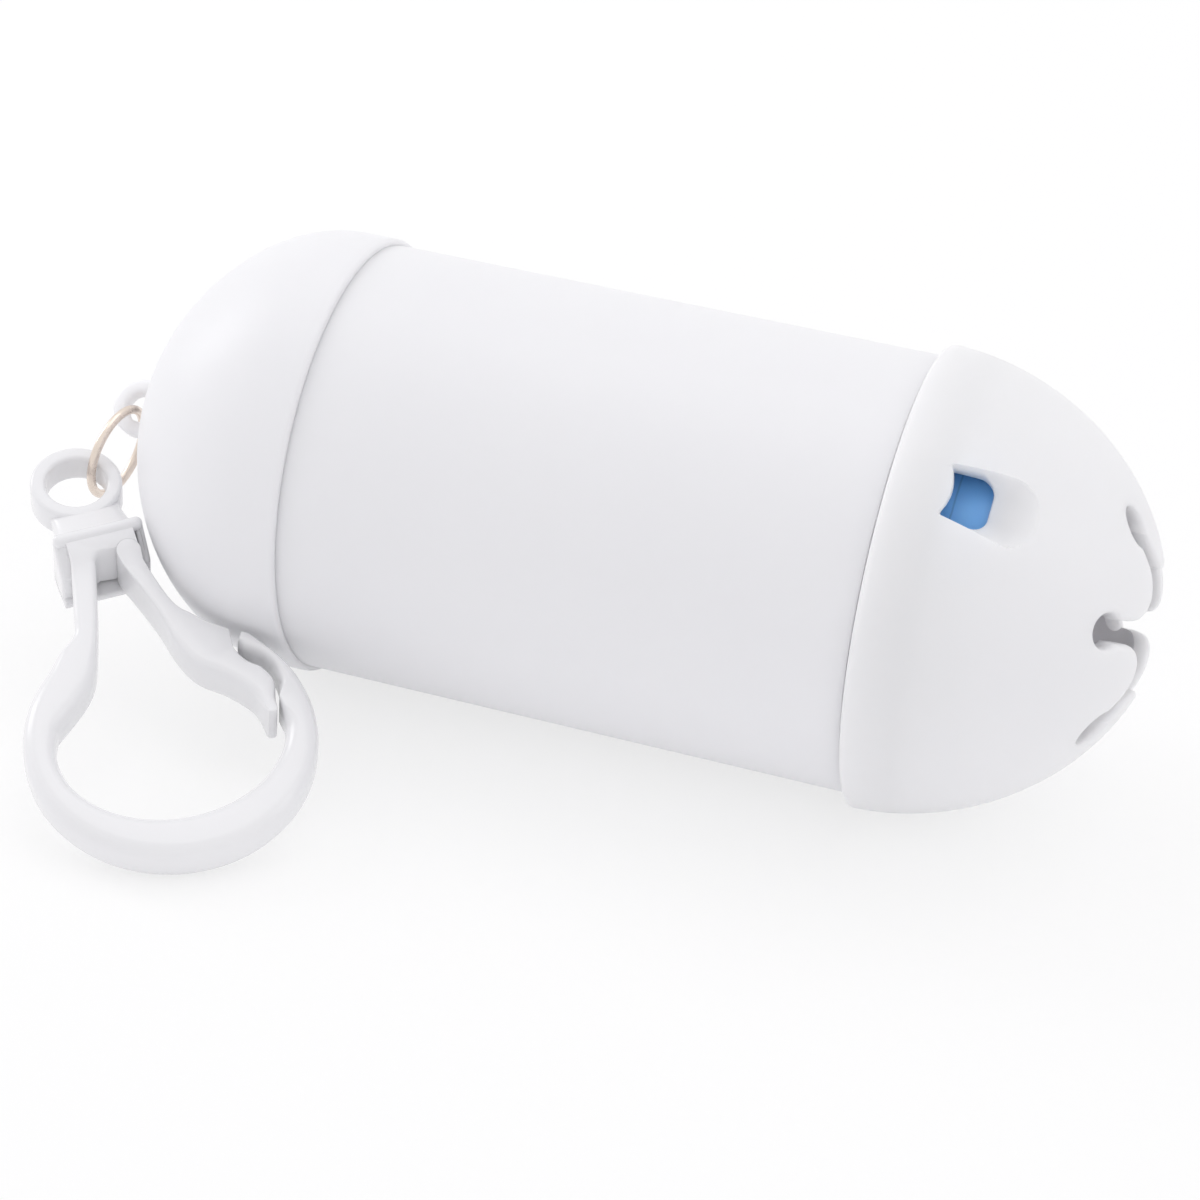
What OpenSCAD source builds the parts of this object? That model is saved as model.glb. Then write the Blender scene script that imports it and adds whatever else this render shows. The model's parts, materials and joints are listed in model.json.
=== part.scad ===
// Pocket dispenser for rolls of pet waste bags, lying on a table.
// Frame: X along the barrel, origin on the table below the middle of the barrel, Z up.
// The hook is drawn in its own plane (length along X, width along Y) and placed by hook_place().

/* [Barrel] */
// Outer radius of the barrel
barrel_r = 19; // [17:0.5:24]
// Length of barrel that shows between the end dome and the cap
barrel_len = 49.5; // [40:0.5:70]
// Wall of the barrel
barrel_wall = 1.5; // [1.2:0.1:2]
// Length of the neck that the cap pushes over
neck_len = 4.4; // [3:0.1:5]
// Radial running gap between neck and cap
neck_gap = 0.08; // [0.02:0.01:0.1]

/* [End dome] */
// How far the end dome's rim stands out from the barrel
dome_step = 0.5; // [0.3:0.1:1.2]
// Straight length of the end dome's rim
dome_rim_len = 3.5; // [2:0.1:6]
// Length of the end dome's curve
dome_len = 16.1; // [12:0.1:20]
// Power of the end dome's curve, 2 is an ellipse
dome_power = 1.85; // [1.6:0.05:2.4]
// Wall of the end dome
dome_wall = 1.6; // [1.2:0.1:2.4]
// Length of the sleeve pressed into the barrel
sleeve_len = 5; // [3:0.5:8]
// Wall of that sleeve
sleeve_wall = 0.9; // [0.7:0.1:1.4]
// Bevel on the rims of the end dome and the cap
rim_bevel = 0.4; // [0.1:0.1:0.6]

/* [Lug] */
// Outer radius of the lug on the end dome
lug_r = 2.65; // [2.4:0.05:3]
// Radius of the lug's hole
lug_hole_r = 1.35; // [1.2:0.05:1.5]
// Thickness of the lug
lug_thick = 1.8; // [1.4:0.1:2.2]
// Turn of the lug about the barrel's axis
lug_turn = 45; // [35:1:55]

/* [Cap] */
// How far the cap's rim stands out from the barrel
cap_step = 1.1; // [0.8:0.1:1.8]
// Length of the cap
cap_len = 22.3; // [20:0.1:28]
// Power of the cap's curve, 2 is an ellipse
cap_power = 1.92; // [1.7:0.02:2.4]
// Wall of the cap
cap_wall = 1.5; // [1.2:0.1:1.7]
// Gap that shows between the barrel and the cap
cap_seam = 0.2; // [0.1:0.05:0.5]

/* [Cap window] */
// Number of windows around the cap
window_count = 2; // [1:1:3]
// Turn of the first window about the axis, 0 is the front and 90 the top
window_turn = 54; // [45:1:80]
// Distance from the cap's rim to the window
window_from_rim = 4.8; // [4.6:0.1:6]
// Length of the window's recess, to where its floor runs out in the curve
window_len = 7.2; // [6:0.1:8]
// Width of the recess at the end near the rim
window_near_w = 4.6; // [4:0.1:6]
// Width of the recess at its far end
window_far_w = 6; // [5:0.1:7]
// Length of the hole in the recess
hole_len = 3.4; // [2.6:0.1:4]
// Ledge of the recess beside the hole
hole_ledge = 0.2; // [0.1:0.05:0.5]
// Radius of the hole's far corners
hole_corner_r = 1.5; // [0.5:0.1:1.6]
// Wall left between the recess floor and the inside at the hole's far end
hole_edge = 0.6; // [0.4:0.1:1]

/* [Bag outlet] */
// Number of tongues around the outlet
tongue_count = 6; // [5:1:7]
// Clear radius between the tongues' ends
outlet_r = 5.2; // [4.6:0.1:6]
// Width of a slot where two tongues are nearest
slot_w = 1.9; // [1.4:0.1:2.4]
// Diameter of the round end of a slot
slot_end_d = 3; // [2.4:0.1:3.4]
// Distance from the axis to the far end of a slot
slot_reach = 11.3; // [10.8:0.1:12]
// Turn of the first slot about the axis, 0 is the front and 90 the top
slot_turn = 26.5; // [0:0.5:60]

/* [Bag roll] */
// How far the roll reaches into the end dome
roll_into_dome = 3.8; // [2:0.1:5]
// Gap between the edge of the roll's end and the inside of the cap's curve
roll_end_gap = 0.6; // [0.4:0.1:2]
// Gap between the roll and the sleeve
roll_gap = 0.4; // [0.3:0.1:2]
// Outer radius of the paper core
core_r = 6.5; // [5:0.1:9]
// Wall of the paper core
core_wall = 1; // [0.6:0.1:1.6]

/* [Jump ring] */
// Radius to the middle of the ring's wire
ring_r = 4.1; // [4:0.05:4.4]
// Radius of the ring's wire
wire_r = 0.4; // [0.3:0.05:0.45]
// Turn of the ring's plane about the vertical
ring_turn = -8.2; // [-10:0.2:-6]
// Tilt of the ring's plane from the upright
ring_tilt = -8.2; // [-10:0.2:-6]
// Angle below the horizontal at which the ring hangs from the lug
ring_drop = 37.6; // [36:0.2:40]
// Gap between the wire and the outer side of the lug's hole
lug_play = 0.45; // [0.4:0.01:0.5]

/* [Hook eye] */
// Outer radius of the hook's eye
eye_r = 4.05; // [3.8:0.05:4.1]
// Radius of the eye's hole
eye_hole_r = 2.7; // [2.6:0.05:2.8]
// Thickness of the eye
eye_thick = 3; // [2.6:0.1:3.4]
// Rounding of the eye's edges
eye_round = 0.5; // [0.3:0.05:0.6]
// Gap between the wire and the far side of the eye's hole
eye_play = 0.5; // [0.4:0.05:0.6]
// Angle below the horizontal from the ring's centre to the eye's centre
eye_drop = 16.6; // [15:0.2:18]
// Shift of the eye across the ring's plane
eye_shift = -0.34; // [-0.4:0.02:-0.2]

/* [Hook housing] */
// Distance from the eye's centre to the housing's roof edge
roof_at = 7.2; // [6.8:0.1:8]
// Half width of the roof
roof_half = 3.5; // [3.4:0.1:4.2]
// How far the roof stands out in front of the arms
roof_over = 1.1; // [0.6:0.1:1.4]
// Length of the cheeks beside the arms
cheek_len = 2.4; // [1.5:0.1:3]
// Thickness of a cheek
cheek_wall = 0.7; // [0.5:0.1:1]
// Length of the web behind the arms
web_len = 3.1; // [2:0.1:4]
// Thickness of the web
web_wall = 0.7; // [0.5:0.1:1]
// Gap between the arms and the web behind them
web_gap = 0.25; // [0.15:0.05:0.4]

/* [Hook loop] */
// Gap between the hook and the end dome that it leans towards
hook_dome_gap = 0.25; // [0.15:0.05:2]
// Roll of the hook about its own length
hook_roll = 6.4; // [4:0.2:8]
// Thickness of the arms and the loop
hook_thick = 4; // [3.4:0.1:4.6]
// Distance from the eye's centre to the loop's centre
loop_at = 28.8; // [27:0.1:32]
// Half length of the loop outside
loop_half_len = 12.3; // [11.5:0.1:13.5]
// Half width of the loop outside
loop_half_w = 12.3; // [11.5:0.1:13.5]
// Width of the bar at the loop's sides
bar_side = 2.65; // [2.2:0.05:3]
// Width of the bar at the loop's end
bar_end = 4.1; // [3.4:0.1:4.6]
// Width of the fixed arm
arm_w = 2; // [1.6:0.1:2.4]
// Distance from the hook's middle line to the fixed arm's bend
arm_spread = 4.9; // [4.6:0.1:5.4]
// Depth of the bridge between the two arms
bridge_len = 1.7; // [1.2:0.1:2.2]

/* [Gate] */
// Radius of the gate's round root
root_r = 0.95; // [0.8:0.05:1.1]
// Gap around the root and between the gate's end and the nose
gate_gap = 0.15; // [0.1:0.05:0.25]
// Width of the gate where it is widest
gate_w = 3.2; // [2.6:0.1:3.6]

/* [Hidden] */
$fn = 96;
eps = 0.01;
curve_steps = 20;

barrel_in_r = barrel_r - barrel_wall;
dome_r = barrel_r + dome_step;
cap_r = barrel_r + cap_step;
cap_bore_r = cap_r - cap_wall;
neck_r = cap_bore_r - neck_gap;
axis_h = cap_r;
left_x = -barrel_len / 2;
right_x = barrel_len / 2;
cap_x = right_x + cap_seam;
dome_tip_x = left_x - dome_rim_len - dome_len;
sleeve_in_r = barrel_in_r - sleeve_wall;
sleeve_root = 2;
roll_x = left_x - roll_into_dome;
roll_r = sleeve_in_r - roll_gap;
roll_edge_share = (roll_r + roll_end_gap) / cap_bore_r;
roll_into_cap = (cap_len - cap_wall) * pow(1 - pow(roll_edge_share, cap_power), 1 / cap_power);
roll_len = barrel_len + roll_into_dome + cap_seam + roll_into_cap;
core_over = 0.4;

// The lug's hole just clears the dome's tip; its centre carries the ring.
lug_c = [dome_tip_x - lug_hole_r - 0.05, 0, axis_h];

// Unit vectors of the ring's plane, level and downhill, and its normal.
ring_level = [sin(ring_turn), -cos(ring_turn), 0];
ring_down = [sin(ring_tilt) * cos(ring_turn), sin(ring_tilt) * sin(ring_turn), -cos(ring_tilt)];
ring_normal = [cos(ring_tilt) * cos(ring_turn), cos(ring_tilt) * sin(ring_turn), sin(ring_tilt)];
function hang(reach, drop) = reach * (cos(drop) * ring_level + sin(drop) * ring_down);
ring_c = lug_c + hang(ring_r + lug_hole_r - wire_r - lug_play, ring_drop);
eye_c = ring_c + hang(ring_r + eye_hole_r - wire_r - eye_play, eye_drop) + eye_shift * ring_normal;

// Places on the hook, in its own plane, from the eye's centre.
bridge_top = roof_at;
bridge_low = bridge_top + bridge_len;
bridge_half = roof_half - 0.5;
cheek_in = roof_half - 0.2;
in_half_len = loop_half_len - bar_end;
in_half_w = loop_half_w - bar_side;
throat_at = loop_at - loop_half_len;
root_at = bridge_low + 0.6;
root_off = bridge_half - root_r;
roof_front = hook_thick / 2 + roof_over;
roof_back = hook_thick / 2 + web_gap + web_wall;

// Height of the eye's centre above the lowest point of the loop, for a given lean.
function hook_height(lean) =
    loop_at * sin(lean)
    + norm([loop_half_len * sin(lean), loop_half_w * sin(hook_roll) * cos(lean)])
    + hook_thick / 2 * cos(hook_roll) * cos(lean);

// Lean that brings the loop down to the table, found by halving the interval from low to high.
function lean_between(low, high, steps) =
    let (mid = (low + high) / 2)
    steps == 0 ? low
    : hook_height(mid) > eye_c[2] ? lean_between(low, mid, steps - 1)
    : lean_between(mid, high, steps - 1);
hook_lean = lean_between(0, 60, 30);

// Corners of the hook in its own frame, above and below its plane.
hook_corners = concat(
    [for (p = concat(frame_outline(), gate_outline()), h = [-hook_thick / 2, hook_thick / 2])
        [p[0], p[1], h]],
    [for (x = [roof_at, roof_at + cheek_len], h = [-roof_back, roof_front])
        [x, cheek_in + cheek_wall, h]]);

// A point of the hook's own frame, with the hook leaning and turned by turn about the vertical.
function hook_point(p, turn) =
    let (y1 = p[1] * cos(hook_roll) - p[2] * sin(hook_roll),
         z1 = p[1] * sin(hook_roll) + p[2] * cos(hook_roll),
         x2 = p[0] * cos(hook_lean) + z1 * sin(hook_lean),
         z2 = z1 * cos(hook_lean) - p[0] * sin(hook_lean))
    eye_c + [x2 * cos(turn) - y1 * sin(turn), x2 * sin(turn) + y1 * cos(turn), z2];

// How far a point is outside the end dome, measured towards the middle of the dome's rim.
function off_dome(p) =
    let (back = max(0, left_x - dome_rim_len - p[0]),
         out = norm([p[1], p[2] - axis_h]),
         k = pow(pow(back / dome_len, dome_power) + pow(out / dome_r, dome_power), 1 / dome_power))
    (1 - 1 / k) * norm([back, out]);

// Turn that brings the hook up to the end dome, found by halving the interval from away to near.
function turn_between(away, near, steps) =
    let (mid = (away + near) / 2)
    steps == 0 ? away
    : min([for (p = hook_corners) off_dome(hook_point(p, mid))]) < hook_dome_gap
        ? turn_between(away, mid, steps - 1)
    : turn_between(mid, near, steps - 1);
hook_turn = turn_between(-80, -20, 16);

function outer_loop(a) = [loop_at + loop_half_len * cos(a), loop_half_w * sin(a)];
function inner_loop(a) = [loop_at + in_half_len * cos(a), in_half_w * sin(a)];
function loop_share(along, across) = [loop_at + along * in_half_len, across * in_half_w];
function gate_share(along, across) = loop_share(along, across) - [0, gate_gap];
function gate_inner(along, across, width) = gate_share(along, across) - [0, width * gate_w];

// Smooth open curve through points (Catmull-Rom), steps points to each span.
function span(a, b, c, d, t) =
    0.5 * (2 * b + (c - a) * t + (2 * a - 5 * b + 4 * c - d) * t * t
           + (3 * b - a - 3 * c + d) * t * t * t);
function smooth(p, steps = 5) =
    let (n = len(p))
    concat([for (i = [0 : n - 2], k = [0 : steps - 1])
        span(p[max(i - 1, 0)], p[i], p[i + 1], p[min(i + 2, n - 1)], k / steps)], [p[n - 1]]);

// Half outline of a dome: power curve from the rim (x = 0) to the tip (x = length).
function dome_curve(r, length, power) =
    [for (i = [0 : curve_steps]) let (t = 90 * i / curve_steps)
        [r * pow(cos(t), 2 / power), length * pow(sin(t), 2 / power)]];

module dome_solid(r, length, power) {
    rotate([0, 90, 0])
        rotate_extrude()
            polygon(concat([[0, 0]], dome_curve(r, length, power)));
}

module tube_x(x, length, r) {
    translate([x, 0, 0])
        rotate([0, 90, 0])
            cylinder(h = length, r = r);
}

// Truncated cone that bevels a rim whose end face is at x, widening towards +X.
module rim_cone(x, r) {
    translate([x, 0, 0])
        rotate([0, 90, 0])
            cylinder(h = rim_bevel, r1 = r - rim_bevel, r2 = r);
}

module on_axis() {
    translate([0, 0, axis_h])
        children();
}

module hook_place() {
    translate(eye_c)
        rotate([hook_roll, hook_lean, hook_turn])
            children();
}

module hook_plate() {
    translate([0, 0, -hook_thick / 2])
        linear_extrude(hook_thick)
            children();
}

module barrel() {
    color("whitesmoke")
        on_axis()
            difference() {
                union() {
                    tube_x(left_x, barrel_len, barrel_r);
                    tube_x(right_x - eps, neck_len + eps, neck_r);
                }
                tube_x(left_x - 1, barrel_len + neck_len + 2, barrel_in_r);
            }
}

module dome_shell() {
    difference() {
        union() {
            mirror([1, 0, 0])
                rim_cone(-left_x, dome_r);
            tube_x(left_x - dome_rim_len, dome_rim_len - rim_bevel, dome_r);
            translate([left_x - dome_rim_len, 0, 0])
                mirror([1, 0, 0])
                    dome_solid(dome_r, dome_len, dome_power);
        }
        tube_x(left_x - dome_rim_len, dome_rim_len + 1, dome_r - dome_wall);
        translate([left_x - dome_rim_len, 0, 0])
            mirror([1, 0, 0])
                dome_solid(dome_r - dome_wall, dome_len - dome_wall, dome_power);
    }
}

module lug() {
    translate([lug_c[0], 0, 0])
        rotate([lug_turn, 0, 0])
            difference() {
                union() {
                    cylinder(h = lug_thick, r = lug_r, center = true);
                    translate([0, -lug_r, -lug_thick / 2])
                        cube([dome_tip_x - lug_c[0] + dome_wall / 2, 2 * lug_r, lug_thick]);
                }
                cylinder(h = lug_thick + 1, r = lug_hole_r, center = true);
            }
}

module end_dome() {
    color("whitesmoke")
        on_axis() {
            dome_shell();
            difference() {
                union() {
                    tube_x(left_x - sleeve_root, sleeve_root, dome_r - dome_wall + eps);
                    tube_x(left_x - eps, sleeve_len + eps, barrel_in_r);
                }
                tube_x(left_x - sleeve_root - 1, sleeve_root + sleeve_len + 2, sleeve_in_r);
            }
            lug();
        }
}

// Radius of a dome at a distance x from its rim.
function dome_r_at(x, r, length, power) = r * pow(1 - pow(x / length, power), 1 / power);

// Block that cuts one window's recess, with a flat floor that runs out in the cap's curve.
module recess_cutter() {
    far_x = window_from_rim + window_len;
    hole_x = window_from_rim + hole_len;
    far_z = dome_r_at(far_x, cap_r, cap_len, cap_power);
    hole_z = dome_r_at(hole_x, cap_bore_r, cap_len - cap_wall, cap_power) + hole_edge;
    slope = (hole_z - far_z) / (far_x - hole_x);
    near_z = hole_z + slope * hole_len;
    intersection() {
        linear_extrude(2 * cap_r)
            polygon([[window_from_rim, -window_near_w / 2], [window_from_rim, window_near_w / 2],
                     [far_x, window_far_w / 2], [far_x, -window_far_w / 2]]);
        translate([0, window_far_w, 0])
            rotate([90, 0, 0])
                linear_extrude(2 * window_far_w)
                    polygon([[window_from_rim, near_z], [far_x, far_z],
                             [far_x, cap_r + 1], [window_from_rim, cap_r + 1]]);
    }
}

// Block that cuts the hole itself, with round corners at its far end.
module hole_cutter() {
    spread = (window_far_w - window_near_w) / 2 / window_len;
    near_half = window_near_w / 2 - hole_ledge;
    corner_x = window_from_rim + hole_len - hole_corner_r;
    corner_half = near_half + spread * (hole_len - hole_corner_r);
    translate([0, 0, cap_bore_r / 2])
        linear_extrude(cap_bore_r) {
            polygon([[window_from_rim, -near_half], [window_from_rim, near_half],
                     [corner_x, corner_half], [corner_x, -corner_half]]);
            translate([corner_x - eps, hole_corner_r - corner_half])
                square([hole_corner_r + eps, 2 * (corner_half - hole_corner_r)]);
            for (side = [-1, 1])
                translate([corner_x, side * (corner_half - hole_corner_r)])
                    circle(hole_corner_r);
        }
}

// Star-shaped outlet: a round opening with tongues standing in it, and slots between them.
module outlet_outline() {
    half = sin(180 / tongue_count);
    tongue_r = (2 * outlet_r * half - slot_w) / (2 - 2 * half);
    tongue_at = outlet_r + tongue_r;
    difference() {
        circle(tongue_at * cos(180 / tongue_count));
        for (i = [0 : tongue_count - 1])
            rotate((i + 0.5) * 360 / tongue_count)
                translate([tongue_at, 0])
                    circle(tongue_r);
    }
    for (i = [0 : tongue_count - 1])
        rotate(i * 360 / tongue_count) {
            translate([outlet_r, -slot_w / 2])
                square([slot_reach - slot_end_d / 2 - outlet_r, slot_w]);
            translate([slot_reach - slot_end_d / 2, 0])
                circle(d = slot_end_d);
        }
}

module outlet_cutter() {
    rotate([-slot_turn, 0, 0])
        rotate([90, 0, -90])
            mirror([0, 0, 1])
                translate([0, 0, cap_len / 2])
                    linear_extrude(cap_len)
                        outlet_outline();
}

module dispensing_cap() {
    color("white")
        on_axis()
            translate([cap_x, 0, 0])
                difference() {
                    intersection() {
                        dome_solid(cap_r, cap_len, cap_power);
                        union() {
                            rim_cone(0, cap_r);
                            tube_x(rim_bevel, cap_len, cap_r);
                        }
                    }
                    dome_solid(cap_bore_r, cap_len - cap_wall, cap_power);
                    tube_x(-1, neck_len - cap_seam + 1.2, cap_bore_r);
                    for (i = [0 : window_count - 1])
                        rotate([90 - window_turn + i * 360 / window_count, 0, 0]) {
                            recess_cutter();
                            hole_cutter();
                        }
                    outlet_cutter();
                }
}

module roll_core() {
    color("tan")
        on_axis()
            difference() {
                tube_x(roll_x - core_over, roll_len + 2 * core_over, core_r);
                tube_x(roll_x - core_over - 1, roll_len + 2 * core_over + 2, core_r - core_wall);
            }
}

module bag_roll() {
    color("steelblue")
        on_axis()
            difference() {
                tube_x(roll_x, roll_len, roll_r);
                tube_x(roll_x - 1, roll_len + 2, core_r);
            }
}

module jump_ring() {
    color("silver")
        translate(ring_c)
            rotate([0, 90 - ring_tilt, ring_turn])
                rotate_extrude()
                    translate([ring_r, 0])
                        circle(wire_r);
}

// Section of the eye's ring, rounded at its four edges.
module eye_section() {
    w = eye_r - eye_hole_r;
    translate([eye_hole_r + eye_round, -eye_thick / 2])
        square([w - 2 * eye_round, eye_thick]);
    translate([eye_hole_r, eye_round - eye_thick / 2])
        square([w, eye_thick - 2 * eye_round]);
    for (x = [eye_hole_r + eye_round, eye_r - eye_round], y = [-1, 1])
        translate([x, y * (eye_thick / 2 - eye_round)])
            circle(eye_round);
}

// Neck that widens from the eye to the roof in both directions.
module hook_neck() {
    neck_at = eye_hole_r + 0.2;
    eye_half = eye_hole_r;
    difference() {
        intersection() {
            translate([0, 0, -roof_back])
                linear_extrude(roof_back + roof_front)
                    polygon([[neck_at, -eye_half], [neck_at, eye_half],
                             [roof_at, roof_half], [roof_at, -roof_half]]);
            translate([0, roof_half + 1, 0])
                rotate([90, 0, 0])
                    linear_extrude(2 * roof_half + 2)
                        polygon([[neck_at, -eye_thick / 2 + eye_round], [neck_at, eye_thick / 2 - eye_round],
                                 [roof_at, roof_front], [roof_at, -roof_back]]);
        }
        cylinder(h = 4 * hook_thick, r = eye_hole_r, center = true);
    }
}

// Two cheeks and a web that close round the arms' top at the sides and the back.
module hook_housing() {
    cheek_depth = roof_back + 1;
    for (side = [-1, 1])
        translate([roof_at - eps, side > 0 ? cheek_in : -cheek_in - cheek_wall, -roof_back])
            cube([cheek_len + eps, cheek_wall, cheek_depth]);
    translate([roof_at - eps, -cheek_in - cheek_wall, -roof_back])
        cube([web_len + eps, 2 * (cheek_in + cheek_wall), web_wall]);
    translate([roof_at - cheek_wall, -cheek_in - cheek_wall, -roof_back])
        cube([cheek_wall, 2 * (cheek_in + cheek_wall), cheek_depth]);
}

module hook_eye() {
    color("white")
        hook_place() {
            rotate_extrude()
                eye_section();
            hook_neck();
            hook_housing();
        }
}

// Outline of the bridge, the fixed arm, the loop and its nose, in one closed curve.
function frame_outline() = concat(
    [[bridge_top, bridge_half], [bridge_top, -bridge_half]],
    smooth([[bridge_low, -bridge_half],
            [throat_at - 2, 0.6 - arm_spread],
            [throat_at, -arm_spread],
            [throat_at + 1.3, -arm_spread - 1.6],
            outer_loop(-140)]),
    [for (a = [-136 : 4 : 128]) outer_loop(a)],
    [outer_loop(131), outer_loop(132) - [0.1, 0.5]],
    smooth([loop_share(-0.93, 0.85), loop_share(-0.84, 0.876), loop_share(-0.72, 0.984),
            loop_share(-0.55, 1.062), loop_share(-0.29, 1.062), loop_share(-0.09, 1.005)]),
    [for (a = [88 : -4 : -112]) inner_loop(a)],
    smooth([inner_loop(-115),
            [throat_at + 5, 0.2 - arm_spread],
            [throat_at, arm_w + 0.1 - arm_spread],
            [bridge_low, arm_w - bridge_half]]),
    [[bridge_low, bridge_half - 2 * root_r], [bridge_low, bridge_half]]);

module hook_frame() {
    color("white")
        hook_place()
            hook_plate()
                difference() {
                    polygon(frame_outline());
                    translate([root_at, root_off])
                        circle(root_r + gate_gap);
                }
}

// Outline of the gate from its root to the stepped end that meets the nose from inside.
function gate_outline() = concat(
    [[root_at, root_off + root_r]],
    smooth([[root_at + 1, root_off + root_r],
            gate_share(-1.62, 0.44),
            gate_share(-1.38, 0.586),
            gate_share(-1.07, 0.819)]),
    smooth([gate_share(-0.85, 0.808), gate_share(-0.66, 0.886), gate_share(-0.53, 0.99),
            gate_share(-0.34, 1.041), gate_share(-0.12, 0.99), gate_share(0.07, 0.933)]),
    smooth([gate_inner(-0.25, 1.02, 0.56), gate_inner(-0.53, 0.99, 1),
            gate_inner(-0.79, 0.771, 1), gate_inner(-1.12, 0.669, 1),
            gate_inner(-1.56, 0.467, 0.55),
            [root_at + 1, root_off - root_r + 0.1]]),
    [for (a = [270 : -6 : 96]) [root_at + root_r * cos(a), root_off + root_r * sin(a)]]);

module hook_gate() {
    color("white")
        hook_place()
            hook_plate()
                polygon(gate_outline());
}

barrel();
end_dome();
dispensing_cap();
roll_core();
bag_roll();
jump_ring();
hook_eye();
hook_frame();
hook_gate();
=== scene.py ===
"""Dressed model of a holder for pet waste bags: capsule, outlet cap, film roll and snap hook.

Lengths inside the classes are in millimetres in the frame's own axes. X runs along the capsule
towards the outlet cap, Z goes up from the table, and the hook lies on the -Y side.
"""

import json
import logging
from collections.abc import Callable
from dataclasses import dataclass, field
from enum import Enum

import bmesh
import bpy
import numpy as np
from mathutils import Matrix, Vector
from mathutils.geometry import delaunay_2d_cdt


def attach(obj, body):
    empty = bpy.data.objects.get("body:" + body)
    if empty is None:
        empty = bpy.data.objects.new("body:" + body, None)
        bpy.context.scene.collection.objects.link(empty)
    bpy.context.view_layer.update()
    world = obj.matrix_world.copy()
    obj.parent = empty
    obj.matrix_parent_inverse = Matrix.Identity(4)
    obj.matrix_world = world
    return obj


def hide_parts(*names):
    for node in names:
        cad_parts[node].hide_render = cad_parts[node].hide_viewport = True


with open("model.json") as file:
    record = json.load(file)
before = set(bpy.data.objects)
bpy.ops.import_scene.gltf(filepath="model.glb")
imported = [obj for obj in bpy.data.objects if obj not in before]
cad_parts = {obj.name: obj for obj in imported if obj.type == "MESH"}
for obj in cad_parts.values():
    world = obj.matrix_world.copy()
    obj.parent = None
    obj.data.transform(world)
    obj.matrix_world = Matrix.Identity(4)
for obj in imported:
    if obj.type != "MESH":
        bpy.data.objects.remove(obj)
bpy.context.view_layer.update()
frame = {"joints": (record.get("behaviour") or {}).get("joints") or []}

Array = np.ndarray
Socket = bpy.types.NodeSocket
Tree = bpy.types.NodeTree
MM = 0.001
AXIS_H = 20.1
BARREL_END = 24.75
TURN_STEPS = 224
log = logging.getLogger("bag_holder")


class Slot(Enum):
    """Material slots of the record, one named for each piece."""

    BARREL = "barrel_plastic"
    DOME = "dome_plastic"
    CAP = "cap_plastic"
    CORE = "core_paper"
    FILM = "bag_film"
    WIRE = "ring_wire"
    HOOK = "hook_plastic"


# ---------------------------------------------------------------- curves and surfaces


def arc(centre: tuple[float, float], radii: tuple[float, float] | float, start: float,
        end: float, steps: int) -> Array:
    """Points of an ellipse's arc: centre + (wide cos t, high sin t).

    Args:
        centre: Middle of the ellipse.
        radii: Half lengths along the two axes, or the one radius of a circle.
        start: First value of t in degrees.
        end: Last value of t in degrees.
        steps: Number of points.

    Returns:
        Array of (steps, 2) points.
    """
    wide, high = np.broadcast_to(radii, 2)
    t = np.radians(np.linspace(start, end, steps))
    return np.stack([centre[0] + wide * np.cos(t), centre[1] + high * np.sin(t)], 1)


def level(start: float, end: float, height: float, steps: int) -> Array:
    """Evenly spaced points of a line at one height."""
    return np.stack([np.linspace(start, end, steps), np.full(steps, height)], 1)


def around(steps: int) -> Array:
    """Angles of a full turn in even steps, without the last."""
    return np.linspace(0, 2 * np.pi, steps, endpoint=False)


def unit(angles: Array) -> Array:
    """Unit vectors in a plane at those angles."""
    return np.stack([np.cos(angles), np.sin(angles)], 1)


def dome_line(radius: float, length: float, power: float, steps: int) -> Array:
    """Half outline of a dome, where (x / length)^power + (r / radius)^power = 1.

    Args:
        radius: Radius at the rim, where x is 0.
        length: Distance from rim to tip.
        power: 2 gives an ellipse, less a more pointed dome.
        steps: Number of points.

    Returns:
        Array of (x, r) points from the tip to the rim.
    """
    t = np.linspace(np.pi / 2, 0, steps)
    sine, cosine = np.clip(np.sin(t), 0, 1), np.clip(np.cos(t), 0, 1)
    cosine[0] = 0
    return np.stack([length * sine ** (2 / power), radius * cosine ** (2 / power)], 1)


def flowing(points: list, steps: int = 7) -> Array:
    """Smooth open curve through points, each span the cubic of Catmull and Rom.

    With a, b, c, d four points in a row and t from 0 to 1, the span from b to c is
    (2b + (c - a) t + (2a - 5b + 4c - d) t^2 + (3b - a - 3c + d) t^3) / 2.

    Args:
        points: Points that the curve goes through.
        steps: Points for each span.

    Returns:
        Array of 2D points, ending on the last one given.
    """
    p = np.asarray(points, float)
    padded = np.concatenate([p[:1], p, p[-1:]])
    a, b, c, d = (padded[i:len(p) - 1 + i, None] for i in range(4))
    t = np.arange(steps)[None, :, None] / steps
    spans = (2 * b + (c - a) * t + (2 * a - 5 * b + 4 * c - d) * t ** 2
             + (3 * b - a - 3 * c + d) * t ** 3) / 2
    return np.concatenate([spans.reshape(-1, p.shape[1]), p[-1:]])


def evened(loop: Array, spacing: float) -> Array:
    """A closed curve's points, spread evenly along it at about the given spacing.

    Args:
        loop: Points of the curve, in order.
        spacing: Distance between points, measured along the curve.

    Returns:
        Array of points, the first of them where it was.
    """
    closed = np.concatenate([loop, loop[:1]])
    along = np.concatenate([[0], np.cumsum(np.linalg.norm(np.diff(closed, axis=0), axis=1))])
    at = np.linspace(0, along[-1], max(8, round(along[-1] / spacing)), endpoint=False)
    return np.stack([np.interp(at, along, closed[:, k]) for k in range(loop.shape[1])], 1)


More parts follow.
